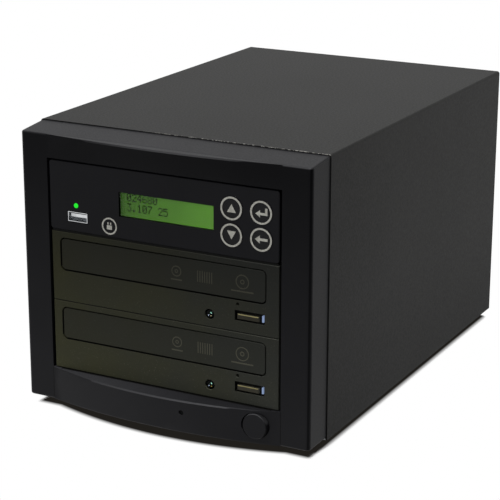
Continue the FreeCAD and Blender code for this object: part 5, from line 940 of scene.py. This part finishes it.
def make_looks():
    """All the finishes."""
    cover_low, cover_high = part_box("top_cover")
    return SimpleNamespace(
        abs=moulded_abs(),
        coat=powder_coated_steel(cover_low.y, cover_high.z),
        face=moulded_hips("moulded_hips", "#303021", "#292a27"),
        door=moulded_hips("moulded_hips_door", "#27271e", "#272825"),
        button=moulded_hips("moulded_hips_button", "#2f2d25", "#33312a"),
        panel=smooth_panel_abs(),
        key=key_lacquered_abs(),
        ink=screen_ink(),
        crystal=crystal_dots(),
        acrylic=clear_acrylic(),
        lens=dark_lens(),
        green=glowing_lens("green_lens", "#1fe82a", 1.1, "#0a5a18"),
        # Painted highlight: the pale window beside each eject button glows.
        window=glowing_lens("pale_lens", "#93a7cc", 0.7, "#56647f"),
        rubber=moulded_rubber(),
        # Painted highlight for the top edge of each eject button.
        edge=moulded_pbt("painted_edge_highlight", "#a39a66", "#b8ae76"),
        recess=painted_shade_lining(),
        mark=moulded_hips("polished_relief", "#3d3c34", "#47463d"),
        glints={
            "mint": painted_lens_glint("mint_glint", "#9fe6cf"),
            "white": painted_lens_glint("white_glint", "#b9c6de"),
            "gold": painted_lens_glint("gold_glint", "#8f7d3a"),
        },
        zinc=galvanised_steel(),
        screw=plated_screw_steel(),
        wire=nickel_wire(),
        black=moulded_pbt("black_pbt", "#161617", "#1d1d1e"),
        tray=moulded_pbt("tray_pbt", "#1c1c1c", "#232323"),
        gear=moulded_pbt("acetal_gear", "#d8d6cc", "#e3e1d8", (0.3, 0.4)),
        gloss=moulded_pbt("polished_pbt", "#101011", "#161617", (0.15, 0.22)),
        board=board_laminate(),
        cable=cable_pvc(),
    )


def in_both(name):
    """A part's names in the two drives."""
    return [f"{side}_{name}" for side in SIDES]


def dress(looks):
    """Finish every node whose shape stays as it is."""
    plain = (
        (looks.zinc, ["front_plate", "base_pan", "rear_panel", "left_bay_bracket", "right_bay_bracket",
                      "disc_clamps", "controller_shelf", "psu_case", *in_both("drive_casing")]),
        (looks.screw, ["drive_screws", "case_screws", *in_both("turntable"), *in_both("lead_screw")]),
        (looks.black, ["power_switch", "display_module", "rocker_frame", *in_both("mechanism_deck"),
                       *in_both("pickup_sled")]),
        (looks.board, ["key_board", "controller_board", "psu_board", *in_both("drive_board")]),
        (looks.gear, in_both("loading_pinion")),
        (looks.wire, ["memory_port"]),
        (looks.cable, ["inner_cables"]),
    )
    for finish, names in plain:
        for name in names:
            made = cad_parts[name]
            made.data.materials.clear()
            made.data.materials.append(finish)


def make_skins(looks):
    """Nodes with curved faces, shown as smooth skins with edges rounded by so many millimetres."""
    skins = {
        "front_bezel": ("case", "bezel_plastic", looks.abs, 0.35),
        "top_cover": ("case", "cover_paint", looks.coat, 0.15),
        "power_button": ("power", "bezel_plastic", looks.abs, 0.1),
        "rubber_feet": ("case", "foot_rubber", looks.rubber, 0.2),
        "control_panel": ("case", "panel_plastic", looks.panel, 0.2),
        "fan_guards": ("case", "guard_chrome", looks.wire, 0),
        "power_inlet": ("case", "inlet_plastic", looks.black, 0.15),
        "power_rocker": ("rocker", "rocker_plastic", looks.gloss, 0.15),
        "psu_fan_frame": ("case", "fan_plastic", looks.black, 0.2),
        "case_fan_frame": ("case", "fan_plastic", looks.black, 0.2),
        "psu_fan_rotor": ("psu_rotor", "fan_plastic", looks.black, 0),
        "case_fan_rotor": ("case_rotor", "fan_plastic", looks.black, 0),
    }
    for side in SIDES:
        skins.update({
            f"{side}_faceplate": ("case", "faceplate_plastic", looks.face, 0.15),
            f"{side}_tray_door": (f"{side}_tray_unit", "faceplate_plastic", looks.door, 0.1),
            f"{side}_eject_button": (f"{side}_eject", "faceplate_plastic", looks.button, 0.1),
            f"{side}_tray": (f"{side}_tray_unit", "tray_plastic", looks.tray, 0.15),
        })
    for name, (body, slot, finish, edge) in skins.items():
        carried(smooth_copy(name, edge=edge * MM), body, slot, finish)


make_camera()
make_floor()
make_surroundings()
looks = make_looks()
dress(looks)
make_skins(looks)
make_display(looks)
make_keys(looks)
make_printed_ring(looks)
make_lamps(looks)
make_lenses(looks)
make_recesses(looks)
make_button_edges(looks)
make_door_gaps(looks)
make_seams(looks)
make_door_marks(looks)
make_chin_joints(looks)

bpy.context.scene.view_settings.view_transform = "Standard"
